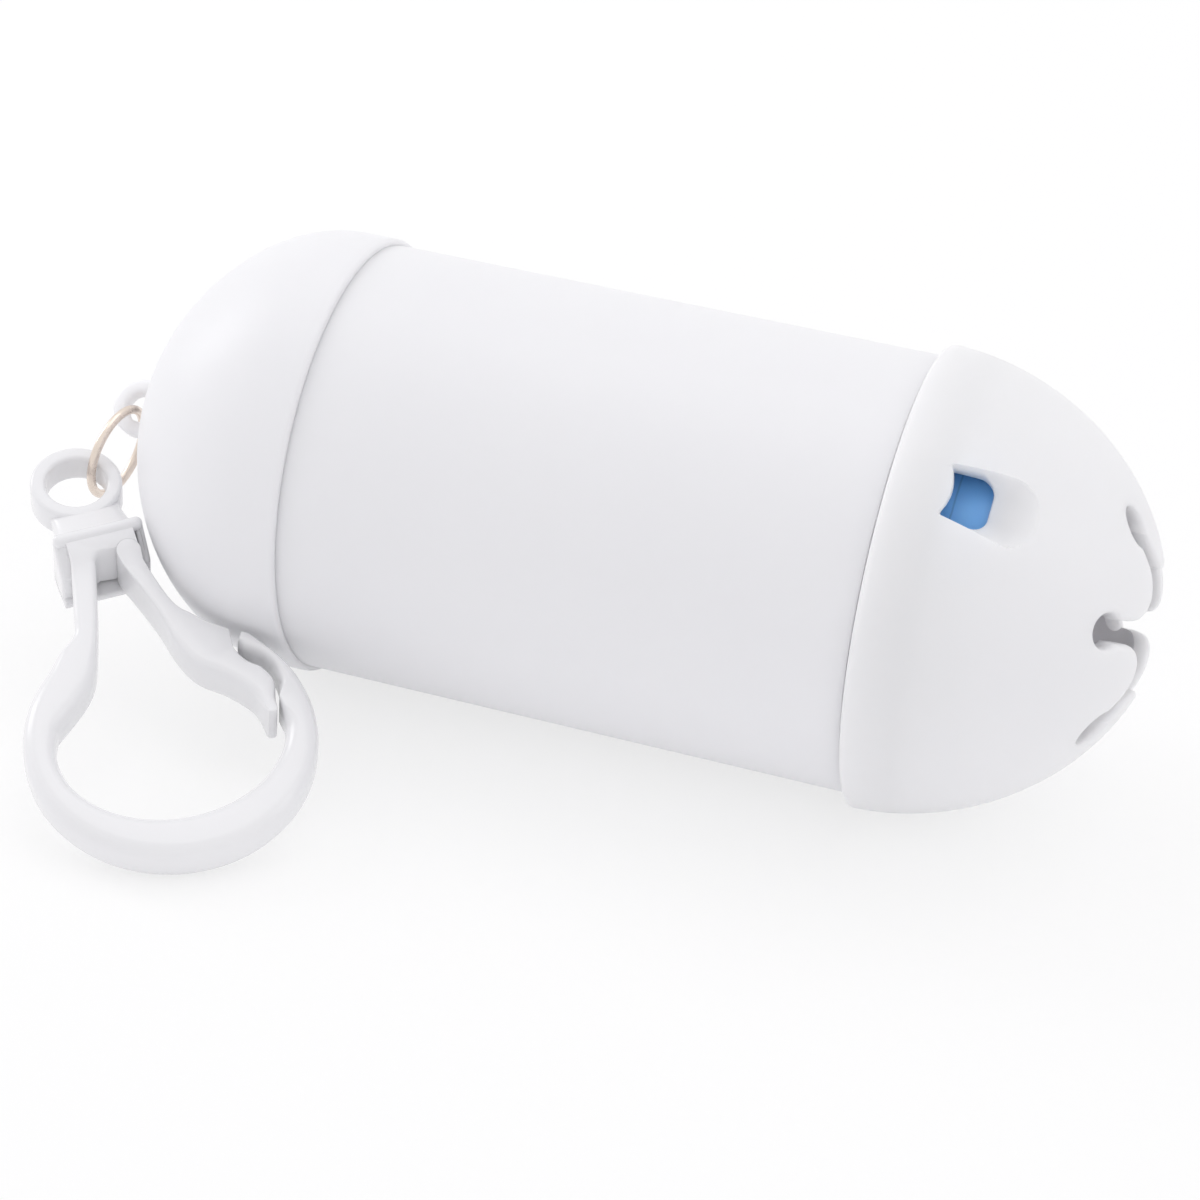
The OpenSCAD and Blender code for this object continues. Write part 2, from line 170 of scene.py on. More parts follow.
def revolved(profile: Array, steps: int = TURN_STEPS) -> Array:
    """Grid of a profile (x, r) turned about the capsule's axis: (x, r cos a, AXIS_H + r sin a).

    Args:
        profile: Array of (x, r) points.
        steps: Number of points round the axis.

    Returns:
        Array of (profile points, steps, 3).
    """
    a = around(steps)[None]
    x, r = profile[:, :1], profile[:, 1:2]
    return np.stack([x + 0 * a, r * np.cos(a), AXIS_H + r * np.sin(a)], 2)


def soft_step(values: Array, low: float, high: float) -> Array:
    """0 below low, 1 above high, and 3 t^2 - 2 t^3 between them."""
    t = np.clip((values - low) / (high - low), 0, 1)
    return t * t * (3 - 2 * t)


def inward(loop: Array) -> Array:
    """Unit normals of a closed plane curve that point to its inside.

    Each is the sum of the unit normals of the two edges that meet at the point.

    Args:
        loop: Points of the curve, in order.

    Returns:
        One unit vector for each point.
    """
    edge = np.roll(loop, -1, 0) - loop
    edge /= np.maximum(np.linalg.norm(edge, axis=1, keepdims=True), 1e-9)
    tangent = edge + np.roll(edge, 1, 0)
    tangent /= np.maximum(np.linalg.norm(tangent, axis=1, keepdims=True), 1e-9)
    area = np.sum(loop[:, 0] * np.roll(loop[:, 1], -1) - loop[:, 1] * np.roll(loop[:, 0], -1))
    return np.sign(area) * np.stack([-tangent[:, 1], tangent[:, 0]], 1)


def is_inside(points: Array, loop: Array) -> Array:
    """True for each point whose ray along +x crosses the closed curve an odd number of times.

    Args:
        points: Points in the curve's plane.
        loop: Points of the curve, in order.

    Returns:
        One truth value for each point.
    """
    a, b = loop[None], np.roll(loop, -1, 0)[None]
    p = points[:, None]
    spans = (a[..., 1] > p[..., 1]) != (b[..., 1] > p[..., 1])
    rise = np.where(a[..., 1] == b[..., 1], 1, b[..., 1] - a[..., 1])
    cross = a[..., 0] + (p[..., 1] - a[..., 1]) * (b[..., 0] - a[..., 0]) / rise
    return (spans & (p[..., 0] < cross)).sum(1) % 2 == 1


def distance_to(points: Array, loop: Array) -> Array:
    """Shortest distance from each point to the edges of a closed curve, in blocks of points.

    Args:
        points: Points in the curve's plane.
        loop: Points of the curve, in order.

    Returns:
        One distance for each point.
    """
    a, edge = loop[None], (np.roll(loop, -1, 0) - loop)[None]
    length = np.maximum((edge ** 2).sum(2), 1e-12)
    blocks = []
    for block in np.array_split(points, max(1, len(points) // 2000)):
        rel = block[:, None] - a
        t = np.clip((rel * edge).sum(2) / length, 0, 1)[..., None]
        blocks.append(np.linalg.norm(rel - t * edge, axis=2).min(1))
    return np.concatenate(blocks)


def clear_of(points: Array, loops: list[Array], gap: float) -> Array:
    """True for each point outside all the closed curves and further than the gap from them.

    Args:
        points: Points in the curves' plane.
        loops: Closed curves.
        gap: Distance to be kept from each curve.

    Returns:
        One truth value for each point.
    """
    clear = np.ones(len(points), bool)
    for loop in loops:
        clear &= ~is_inside(points, loop) & (distance_to(points, loop) > gap)
    return clear


def filled(loops: list[Array], extra: Array | None = None) -> tuple[Array, Array]:
    """Triangles between closed curves, the first of them outermost, by constrained Delaunay.

    Args:
        loops: Closed plane curves; the ones after the first are holes.
        extra: Further points that the triangles use.

    Returns:
        Points with the curves' own first, and triangles of indices into them.
    """
    points = np.concatenate(loops + ([] if extra is None else [extra]))
    starts = np.cumsum([0] + [len(loop) for loop in loops])
    edges = np.concatenate([np.stack([np.arange(n), np.roll(np.arange(n), -1)], 1) + start
                            for n, start in zip(map(len, loops), starts)])
    verts, _, faces, *_ = delaunay_2d_cdt([Vector(p) for p in points], edges.tolist(), [], 0, 1e-7)
    verts, faces = np.array([tuple(v) for v in verts]), np.array(faces)
    middle = verts[faces].mean(1)
    keep = is_inside(middle, loops[0])
    for hole in loops[1:]:
        keep &= ~is_inside(middle, hole)
    return verts, faces[keep]


# ---------------------------------------------------------------- pieces


def placed(name: str, data: bpy.types.ID) -> bpy.types.Object:
    """Object of that name and data, put in the scene.

    Args:
        name: Name of the object.
        data: Its mesh, lamp or camera.

    Returns:
        The object.
    """
    item = bpy.data.objects.new(name, data)
    bpy.context.scene.collection.objects.link(item)
    return item


class Shell:
    """One piece's surface, gathered from patches of points and faces in millimetres."""

    def __init__(self) -> None:
        """Starts with no patches."""
        self.points: list[Array] = []
        self.faces: list[list[int]] = []
        self.count = 0

    def patch(self, points: Array, faces: Array) -> "Shell":
        """Adds points with their faces.

        Args:
            points: Array of (n, 3).
            faces: Indices into the points, one row for each face.

        Returns:
            The shell.
        """
        self.points.append(points)
        self.faces += (faces + self.count).tolist()
        self.count += len(points)
        return self

    def grid(self, points: Array, close_rows: bool = False, close_columns: bool = True) -> "Shell":
        """Adds a grid of points whose neighbours in rows and columns make four-sided faces.

        Args:
            points: Array of (rows, columns, 3).
            close_rows: Joins the last row to the first.
            close_columns: Joins the last column to the first.

        Returns:
            The shell.
        """
        rows, columns = points.shape[:2]
        index = np.arange(rows * columns).reshape(rows, columns)
        down = np.roll(index, -1, 0) if close_rows else index[1:]
        top = index if close_rows else index[:-1]
        right, down_right = np.roll(top, -1, 1), np.roll(down, -1, 1)
        faces = np.stack([top, right, down_right, down], 2)
        faces = faces if close_columns else faces[:, :-1]
        return self.patch(points.reshape(-1, 3), faces.reshape(-1, 4))

    def build(self, name: str, body: str, node: str, slot: Slot,
              finish: bpy.types.Material, crease: float = 42.0) -> bpy.types.Object:
        """Makes the object, joins what meets, turns the faces outwards and dresses it.

        Args:
            name: The piece's name.
            body: CAD body that it moves with.
            node: CAD node that it stands for.
            slot: Material slot of the record. Not used.
            finish: Its material.
            crease: Edges that turn by more degrees than this stay sharp.

        Returns:
            The finished object.
        """
        mesh = bpy.data.meshes.new(name)
        mesh.from_pydata(np.concatenate(self.points) * MM, [], self.faces)
        work = bmesh.new()
        work.from_mesh(mesh)
        bmesh.ops.remove_doubles(work, verts=work.verts, dist=2e-7)
        bmesh.ops.dissolve_degenerate(work, edges=work.edges, dist=1e-8)
        bmesh.ops.recalc_face_normals(work, faces=work.faces)
        work.to_mesh(mesh)
        work.free()
        mesh.shade_smooth()
        mesh.set_sharp_from_angle(angle=np.radians(crease))
        mesh.materials.append(finish)
        piece = placed(name, mesh)
        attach(piece, body)
        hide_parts(node)
        log.info("%s: %d faces, rides %s, stands for %s", name, len(mesh.polygons), body, node)
        return piece


def held_in(loop: Array, reach: Array, tries: int = 14) -> Array:
    """Reach of a rounded edge, cut back wherever it would run past the middle of the plate.

    A point moved inwards by its reach has to stay that far from the outline. Where it is
    nearer, the reach shrinks by an eighth, and then its neighbours are evened out.

    Args:
        loop: Outline of the plate.
        reach: Wanted reach at each point.
        tries: How often it may shrink.

    Returns:
        The reach that fits.
    """
    normal = inward(loop)
    for _ in range(tries):
        away = distance_to(loop + reach[:, None] * normal, loop)
        reach = np.where(away < 0.96 * reach, reach * 0.875, reach)
    lowest = np.min([np.roll(reach, k) for k in (-2, -1, 0, 1, 2)], 0)
    return np.mean([np.roll(lowest, k) for k in (-2, -1, 0, 1, 2)], 0)


def plate(shell: Shell, loops: list[Array], half: float, edge_in: Array | float,
          edge_down: Array | float, place: Callable[[Array], Array], steps: int = 6) -> None:
    """Adds a flat plate with rounded edges: each outline moves inwards as a quarter ellipse.

    At an angle t from the side to the flat face, a point of the outline has moved
    edge_in (1 - cos t) inwards and lies edge_down (1 - sin t) below the face.

    Args:
        shell: Shell that takes the plate.
        loops: Outer outline and then holes, in the plate's plane.
        half: Half the thickness.
        edge_in: How far the rounding reaches in from the first outline, per point.
        edge_down: How far it reaches down from the face, per point.
        place: Moves points from the plate's own frame to the row frame.
        steps: Rows in each quarter.
    """
    t = np.linspace(0, np.pi / 2, steps)[:, None, None]
    rims = []
    for k, loop in enumerate(loops):
        reach = (held_in(loop, np.broadcast_to(edge_in, len(loop)))[:, None] if k == 0
                 else np.min(edge_in))
        fall = np.broadcast_to(edge_down, len(loops[0])) if k == 0 else np.min(edge_down)
        towards = inward(loop) * (1 if k == 0 else -1)
        flat = loop[None] + reach * (1 - np.cos(t)) * towards[None]
        height = half - fall * (1 - np.sin(t[..., 0])) + 0 * flat[..., 0]
        upper = np.concatenate([flat, height[..., None]], 2)
        lower = upper[::-1] * [1, 1, -1]
        shell.grid(place(np.concatenate([lower, upper])))
        rims.append(flat[-1])
    points, faces = filled(rims)
    for side in (-1, 1):
        shell.patch(place(np.column_stack([points, np.full(len(points), side * half)])), faces)


def block(low: Array, high: Array, radius: float, steps: int = 5) -> Array:
    """Grid of a box with rounded edges: a small sphere's points, each moved out to its own corner.

    A point is corner + radius n, where n is the unit direction and corner the box's corner,
    set in by the radius, on the side that n points to.

    Args:
        low: Lowest corner of the box.
        high: Highest corner of the box.
        radius: Radius of its edges.
        steps: Points in each quarter of the sphere.

    Returns:
        Grid of points, from the lower pole to the upper, with closed columns.
    """
    low, high = np.asarray(low, float), np.asarray(high, float)
    quarter = np.linspace(0, np.pi / 2, steps)
    up = np.concatenate([quarter - np.pi / 2, quarter])[:, None]
    sign_up = np.repeat([-1, 1], steps)[:, None]
    turn = (quarter[None] + np.arange(4)[:, None] * np.pi / 2).reshape(1, -1)
    side_x = np.repeat([1, -1, -1, 1], steps)[None]
    side_y = np.repeat([1, 1, -1, -1], steps)[None]
    n = np.stack([np.cos(up) * np.cos(turn), np.cos(up) * np.sin(turn), np.sin(up) + 0 * turn], 2)
    sign = np.stack([side_x + 0 * up, side_y + 0 * up, sign_up + 0 * turn], 2)
    grid = (low + high) / 2 + sign * ((high - low) / 2 - radius) + radius * n
    pole = np.broadcast_to((low + high) / 2, grid[:1].shape)
    floor, roof = pole.copy(), pole.copy()
    floor[..., 2], roof[..., 2] = low[2], high[2]
    return np.concatenate([floor, grid, roof])


# ---------------------------------------------------------------- finishes


def linear(code: str) -> tuple[float, float, float, float]:
    """Linear colour of an sRGB hex code such as #EFEFF1.

    Args:
        code: Hex code with its leading sign.

    Returns:
        Red, green, blue and alpha, each from 0 to 1.
    """
    s = np.array([int(code[i:i + 2], 16) / 255 for i in (1, 3, 5)])
    value = np.where(s <= 0.04045, s / 12.92, ((s + 0.055) / 1.055) ** 2.4)
    return (*value.tolist(), 1.0)


def cleared(owner: bpy.types.Material | bpy.types.World) -> Tree:
    """Node tree of a material or a world, emptied.

    Args:
        owner: Material or world.

    Returns:
        Its node tree, without nodes.
    """
    owner.use_nodes = True
    owner.node_tree.nodes.clear()
    return owner.node_tree


def add_node(tree: Tree, kind: str, links: dict | None = None,
             **settings: object) -> bpy.types.Node:
    """Adds a node with its settings and its inputs.

    Args:
        tree: The material's or world's node tree.
        kind: Node type.
        links: Input name or number to a value, or to an output socket that is linked to it.
        **settings: The node's own properties.

    Returns:
        The node.
    """
    node = tree.nodes.new(kind)
    for key, value in settings.items():
        setattr(node, key, value)
    for key, value in (links or {}).items():
        if isinstance(value, Socket):
            tree.links.new(value, node.inputs[key])
        else:
            node.inputs[key].default_value = value
    return node


def mix(tree: Tree, share: Socket, first: Socket | str, second: Socket | str) -> Socket:
    """Colour between the first and the second, each a hex code or a socket, by a share.

    Args:
        tree: Node tree that takes the nodes.
        share: 0 gives the first colour and 1 the second.
        first: First colour.
        second: Second colour.

    Returns:
        Socket of the mixed colour.
    """
    ends = [linear(end) if isinstance(end, str) else end for end in (first, second)]
    return add_node(tree, "ShaderNodeMix", {0: share, 6: ends[0], 7: ends[1]},
                    data_type="RGBA").outputs[2]


def calc(tree: Tree, operation: str, *values: Socket | float) -> Socket:
    """Result of a mathematical operation on one, two or three values."""
    return add_node(tree, "ShaderNodeMath", dict(enumerate(values)),
                    operation=operation).outputs[0]


def remap(tree: Tree, value: Socket, start: tuple[float, float],
          end: tuple[float, float] = (0.0, 1.0)) -> Socket:
    """Value moved evenly from the start range to the end range and held inside it.

    Args:
        tree: Node tree that takes the nodes.
        value: Value to be moved.
        start: Range that the value comes from.
        end: Range that it goes to.

    Returns:
        Socket of the moved value.
    """
    return add_node(tree, "ShaderNodeMapRange",
                    {"Value": value, "From Min": start[0], "From Max": start[1],
                     "To Min": end[0], "To Max": end[1]}).outputs["Result"]


def per_mm(size: float) -> float:
    """Scale of a pattern on Object coordinates whose features are that many millimetres wide."""
    return 1 / (size * MM)


def noise(tree: Tree, place: Socket, size: float, detail: float, rough: float = 0.5) -> Socket:
    """Noise from 0 to 1 whose features are about that many millimetres wide.

    Args:
        tree: Node tree that takes the nodes.
        place: Socket of the Object coordinates.
        size: Width of the features.
        detail: Number of finer layers.
        rough: How strong each finer layer is against the one before.

    Returns:
        Socket of the noise.
    """
    return add_node(tree, "ShaderNodeTexNoise",
                    {"Vector": place, "Scale": per_mm(size), "Detail": detail,
                     "Roughness": rough}).outputs["Fac"]


def relief(tree: Tree, height: Socket, strength: float, depth: float) -> Socket:
    """Normal of a surface whose height goes that many millimetres deep."""
    return add_node(tree, "ShaderNodeBump", {"Height": height, "Strength": strength,
                                             "Distance": depth * MM}).outputs["Normal"]


@dataclass(frozen=True)
class Finish:
    """What every finish has: a name, a main and a second colour, and how rough it is."""

    name: str
    colour: str
    second: str
    roughness: float

    def material(self) -> bpy.types.Material:
        """Builds the material: one surface shader on Object coordinates.

        Returns:
            The material.
        """
        material = bpy.data.materials.new(self.name)
        tree = cleared(material)
        place = add_node(tree, "ShaderNodeTexCoord").outputs["Object"]
        shader = add_node(tree, "ShaderNodeBsdfPrincipled", self.inputs(tree, place))
        add_node(tree, "ShaderNodeOutputMaterial", {"Surface": shader.outputs[0]})
        return material

    def inputs(self, tree: Tree, place: Socket) -> dict:
        """Inputs of the surface shader; each finish has its own."""
        raise NotImplementedError


@dataclass(frozen=True)
class MouldedPlastic(Finish):
    """Injection-moulded plastic: an even body with a mould grain, flow tone and a soft gloss."""

    grain_mm: float = 0.35
    grain_depth_mm: float = 0.004
    flow_mm: float = 22.0
    glow: float = 0.25
    drift: float = 0.05

    def inputs(self, tree: Tree, place: Socket) -> dict:
        """Slow flow tone, fine grain as relief, and roughness that drifts a little.

        Args:
            tree: Node tree that takes the nodes.
            place: Socket of the Object coordinates.

        Returns:
            Input name to a value or a socket.
        """
        flow = noise(tree, place, self.flow_mm, 3.0)
        grain = noise(tree, place, self.grain_mm, 4.0, 0.6)
        rough = (self.roughness - self.drift, self.roughness + self.drift)
        return {"Base Color": mix(tree, flow, self.colour, self.second),
                "Roughness": remap(tree, grain, (0.3, 0.7), rough),
                "Normal": relief(tree, grain, 0.5, self.grain_depth_mm),
                "IOR": 1.52, "Subsurface Weight": self.glow,
                "Subsurface Radius": (1.0, 0.98, 0.96), "Subsurface Scale": 3.0 * MM}


@dataclass(frozen=True)
class WoundFilm(Finish):
    """Polythene bags wound tight: waxy blue, paler and finely ringed where the edges show."""

    edge: str = "#ECECFA"
    crease: str = "#3E6F9F"
    half_len: float = 30.98
    middle_x: float = 2.43
    ring_mm: float = 0.55
    crease_in: float = 3.0

    def inputs(self, tree: Tree, place: Socket) -> dict:
        """Mask of the two end faces from x, rings from the radius, and fold lines.

        Args:
            tree: Node tree that takes the nodes.
            place: Socket of the Object coordinates.

        Returns:
            Input name to a value or a socket.
        """
        axes = add_node(tree, "ShaderNodeSeparateXYZ", {0: place}).outputs
        wave = noise(tree, place, 7.0, 3.0)
        out = calc(tree, "ABSOLUTE", calc(tree, "SUBTRACT", axes["X"], self.middle_x * MM))
        end = remap(tree, out, ((self.half_len - 0.5) * MM, (self.half_len - 0.2) * MM))
        # The fold of each bag makes a thin dark line round the roll, near each of its ends.
        drift = calc(tree, "MULTIPLY_ADD", wave, 0.8 * MM, out)
        off = calc(tree, "SUBTRACT", drift, (self.half_len - self.crease_in) * MM)
        line = remap(tree, calc(tree, "ABSOLUTE", off), (0.02 * MM, 0.12 * MM), (0.4, 0.0))
        height = calc(tree, "SUBTRACT", axes["Z"], AXIS_H * MM)
        flat = add_node(tree, "ShaderNodeCombineXYZ", {"Y": axes["Y"], "Z": height}).outputs[0]
        radius = add_node(tree, "ShaderNodeVectorMath", {0: flat}, operation="LENGTH")
        turns = calc(tree, "MULTIPLY", radius.outputs["Value"], per_mm(self.ring_mm) * 2 * np.pi)
        rings = calc(tree, "MULTIPLY_ADD", calc(tree, "SINE", turns), end, wave)
        tone = mix(tree, line, mix(tree, wave, self.colour, self.second), self.crease)
        return {"Base Color": mix(tree, end, tone, self.edge), "Roughness": self.roughness,
                "Normal": relief(tree, rings, 0.6, 0.05), "IOR": 1.51,
                "Subsurface Weight": 0.15, "Subsurface Scale": 1.0 * MM}


@dataclass(frozen=True)
class WoundBoard(Finish):
    """Grey-brown board wound in a spiral: matt, with short fibres and a thin seam."""

    pitch_mm: float = 26.0
    seam: str = "#5E4E3C"

    def inputs(self, tree: Tree, place: Socket) -> dict:
        """Stretched fibre noise, and a seam where x / pitch - angle is a whole number.

        Args:
            tree: Node tree that takes the nodes.
            place: Socket of the Object coordinates.

        Returns:
            Input name to a value or a socket.
        """
        axes = add_node(tree, "ShaderNodeSeparateXYZ", {0: place}).outputs
        height = calc(tree, "SUBTRACT", axes["Z"], AXIS_H * MM)
        turns = calc(tree, "MULTIPLY", calc(tree, "ARCTAN2", height, axes["Y"]), 1 / (2 * np.pi))
        phase = calc(tree, "MULTIPLY_ADD", axes["X"], per_mm(self.pitch_mm), turns)
        seam = remap(tree, calc(tree, "FRACT", phase), (0.0, 0.03), (1.0, 0.0))
        stretch = add_node(tree, "ShaderNodeMapping", {"Vector": place, "Scale": (0.25, 1, 1)})
        fibre = noise(tree, stretch.outputs[0], 0.6, 5.0)
        base = mix(tree, fibre, self.colour, self.second)
        return {"Base Color": mix(tree, seam, base, self.seam), "Roughness": self.roughness,
                "Normal": relief(tree, fibre, 0.4, 0.03)}


@dataclass(frozen=True)
class PlatedWire(Finish):
    """Drawn steel wire, nickel plated: warm grey metal with faint draw marks."""

    mark_mm: float = 0.12

    def inputs(self, tree: Tree, place: Socket) -> dict:
        """Fine noise shifts the tone and the roughness, as handling dulls the plating.

        Args:
            tree: Node tree that takes the nodes.
            place: Socket of the Object coordinates.

        Returns:
            Input name to a value or a socket.
        """
        marks = noise(tree, place, self.mark_mm, 4.0)
        dull = noise(tree, place, 2.5, 2.0)
        rough = (self.roughness - 0.06, self.roughness + 0.08)
        return {"Base Color": mix(tree, dull, self.colour, self.second), "Metallic": 1.0,
                "Roughness": remap(tree, dull, (0.3, 0.7), rough),
                "Normal": relief(tree, marks, 0.3, 0.01)}


# ---------------------------------------------------------------- capsule


@dataclass
class Barrel:
    """Straight tube that holds the roll, with a thinner neck that the cap pushes onto."""

    radius: float = 19.0
    bore: float = 17.5
    neck: float = 18.52
    neck_len: float = 4.4
    edge: float = 0.12

    def profile(self) -> Array:
        """Closed outline of the wall as (x, r): two flat ends, a shoulder and rounded edges.

        Returns:
            Array of (x, r) points.
        """
        left, right, tip = -BARREL_END, BARREL_END, BARREL_END + self.neck_len
        e = self.edge
        return np.concatenate([
            [[left, self.radius]], level(left + 0.3, right - 3 * e, self.radius, 40),
            arc((right - e, self.radius - e), e, 90, 0, 6),
            [[right, self.neck]], arc((tip - e, self.neck - e), e, 90, 0, 5),
            arc((tip - e, self.bore + e), e, 0, -90, 5),
            [[tip - 1, self.bore], [left + 1, self.bore]],
            arc((left + e, self.bore + e), e, -90, -180, 5)])

    def build(self, finish: bpy.types.Material) -> None:
        """Makes the tube."""
        Shell().grid(revolved(self.profile()), close_rows=True).build(
            "barrel_tube", "barrel_body", "barrel", Slot.BARREL, finish)


@dataclass
class EndDome:
    """Closed end of the capsule: a domed shell with a sleeve inside the barrel, and its lug."""

    radius: float = 19.5
    rim_len: float = 3.5
    length: float = 16.1
    power: float = 1.85
    wall: float = 1.6
    sleeve: float = 17.48
    sleeve_bore: float = 16.6
    sleeve_len: float = 5.0
    sleeve_root: float = 2.0
    sleeve_edge: float = 0.2
    edge: float = 0.45
    lug_x: float = -45.75
    lug_radius: float = 2.65
    lug_hole: float = 1.35
    lug_half: float = 0.9
    lug_reach: float = 3.4
    lug_edge: float = 0.45
    lug_turn: float = 45.0

    def profile(self) -> Array:
        """Outline of the shell as (x, r), from its outer tip round the rim to its inner tip.

        Returns:
            Array of (x, r) points.
        """
        rim, e = -BARREL_END, self.edge
        spring = rim - self.rim_len
        outer = dome_line(self.radius, self.length, self.power, 60)
        inner = dome_line(self.radius - self.wall, self.length - self.wall, self.power, 40)[::-1]
        s, b, c = self.sleeve, self.sleeve_bore, self.sleeve_edge
        foot = rim + self.sleeve_len - c
        return np.concatenate([
            outer * [-1, 1] + [spring, 0], [[spring + 1, self.radius], [rim - 2 * e, self.radius]],
            arc((rim - e, self.radius - e), e, 90, 0, 6), [[rim, s], [rim + 0.4, s]],
            arc((foot, s - c), c, 90, 0, 4), arc((foot, b + c), c, 0, -90, 4),
            [[rim + 1, b], [rim - self.sleeve_root + 0.1, b], [rim - self.sleeve_root, b],
             [rim - self.sleeve_root, self.radius - self.wall]],
            inner * [-1, 1] + [spring, 0]])

    def lug(self, shell: Shell) -> None:
        """Adds the lug: a tongue with a hole, in a plane turned about the capsule's axis.

        Args:
            shell: Shell that takes the lug.
        """
        reach, wide = self.lug_reach, self.lug_radius
        outline = np.concatenate([
            [[reach, wide]], level(reach - 0.4, 0.3, wide, 8),
            arc((0, 0), wide, 90, 270, 36),
            level(0.3, reach - 0.4, -wide, 8), [[reach, -wide]]])
        hole = arc((0, 0), self.lug_hole, 360, 10, 36)
        turn = np.radians(self.lug_turn)
        spin = np.array([[1, 0, 0], [0, np.cos(turn), np.sin(turn)],
                         [0, -np.sin(turn), np.cos(turn)]])
        plate(shell, [outline, hole], self.lug_half, self.lug_edge, self.lug_edge,
              lambda points: points @ spin + [self.lug_x, 0, AXIS_H], 5)

    def build(self, finish: bpy.types.Material) -> None:
        """Makes the dome and its lug.

        Args:
            finish: Material of the dome.
        """
        shell = Shell().grid(revolved(self.profile()))
        self.lug(shell)
        shell.build("end_dome_shell", "barrel_body", "end_dome", Slot.DOME, finish)


@dataclass
class Window:
    """Opening in the cap's side, in a scooped recess; along is measured from the cap's rim."""

    start: float = 4.8
    end: float = 12.0
    half_near: float = 2.3
    half_far: float = 3.0
    hole_len: float = 3.4
    ledge: float = 0.2
    hole_in: float = 0.05
    hole_bulge: float = 0.12
    corner: float = 1.5
    recess_corner: float = 2.4
    floor_near: float = 18.29
    floor_far: float = 16.3
    bow: float = 0.5
    bowl: float = 1.9
    lip: float = 0.18
    undercut: float = 0.55

    def half_at(self, along: Array) -> Array:
        """Half width of the recess, which grows evenly from its near end to its far end."""
        share = (along - self.start) / (self.end - self.start)
        return self.half_near + (self.half_far - self.half_near) * share

    def hole(self, grow: float = 0.0) -> Array:
        """Outline of the hole in (along, across), moved out by grow.

        Args:
            grow: Distance in millimetres.

        Returns:
            Array of (along, across) points, in order round the curve.
        """
        near, far = self.start - grow + self.hole_in, self.start + self.hole_len + grow
        half = self.half_at(np.array([near, far])) - self.ledge + grow
        r = self.corner + grow
        return evened(np.concatenate([
            self.near_edge(near, half[0]),
            [[(near + far) / 2, -half.mean() - self.hole_bulge]],
            arc((far - r, r - half[1]), r, -80, -6, 10),
            arc((far - r, half[1] - r), r, 6, 80, 10),
            [[(near + far) / 2, half.mean() + self.hole_bulge]]]), 0.14)

    def hole_inside(self) -> Array:
        """Outline of the hole in the inner skin, drawn back under its edge by the rim.

        Returns:
            Array of (along, across) points, in order round the curve.
        """
        loop = self.hole()
        loop[:, 0] -= self.undercut * (1 - soft_step(loop[:, 0], self.start + 0.2, self.start + 2))
        return loop

    def recess(self, grow: float = 0.0) -> Array:
        """Outline of the recess in (along, across), moved out by grow.

        Args:
            grow: Distance in millimetres.

        Returns:
            Array of (along, across) points, in order round the curve.
        """
        near, far = self.start - grow, self.end + grow
        half = self.half_at(np.array([near, far])) + grow
        big = self.recess_corner + grow
        return evened(np.concatenate([
            self.near_edge(near, half[0]),
            arc((far - big, big - half[1]), big, -90, 0, 12),
            arc((far - big, half[1] - big), big, 0, 90, 12)]), 0.24)

    def floor_points(self, step: float) -> Array:
        """Points of a square grid on the recess's floor, clear of its outline and the hole.

        Args:
            step: Distance between neighbours.

        Returns:
            Array of (along, across) points.
        """
        u, v = np.meshgrid(np.arange(self.start + 0.6, self.end - 0.2, step),
                           np.arange(-2.7, 2.75, step))
        flat = np.stack([u.ravel(), v.ravel()], 1)
        return flat[is_inside(flat, self.recess(-0.75)) & ~is_inside(flat, self.hole(0.25))]

    def near_edge(self, near: float, half: float) -> Array:
        """Edge by the cap's rim, bowed away from it: near + bow (0.6 - (across / half)^2).

        Args:
            near: Where the edge lies along the cap.
            half: Half its width.

        Returns:
            Array of (along, across) points.
        """
        across = np.linspace(half, -half, 15)
        bowed = near + self.bow * (0.6 - (across / half) ** 2)
        return np.stack([bowed, across], 1)

    def depth(self, along: Array, across: Array, height: Array) -> Array:
        """How far the recess lowers a point: a bowl that falls off steeply at the outline.

        At a distance d inside the outline, the drop is sqrt(1 - (1 - d / bowl)^2) of the way
        down to the sloping floor.

        Args:
            along: Distance of each point from the cap's rim.
            across: Distance of each point from the window's middle line.
            height: Height of each point over the cap's axis.

        Returns:
            Drop of each point towards the axis.
        """
        flat = np.stack([along, across], 1)
        outline = self.recess()
        near = is_inside(flat, outline)
        ease = np.zeros(len(flat))
        rest = 1 - np.clip(distance_to(flat[near], outline) / self.bowl, 0, 1)
        ease[near] = np.sqrt(1 - rest ** 2)
        share = (along - self.start) / (self.end - self.start)
        floor = self.floor_near + (self.floor_far - self.floor_near) * share
        return ease * np.maximum(height - floor, 0)


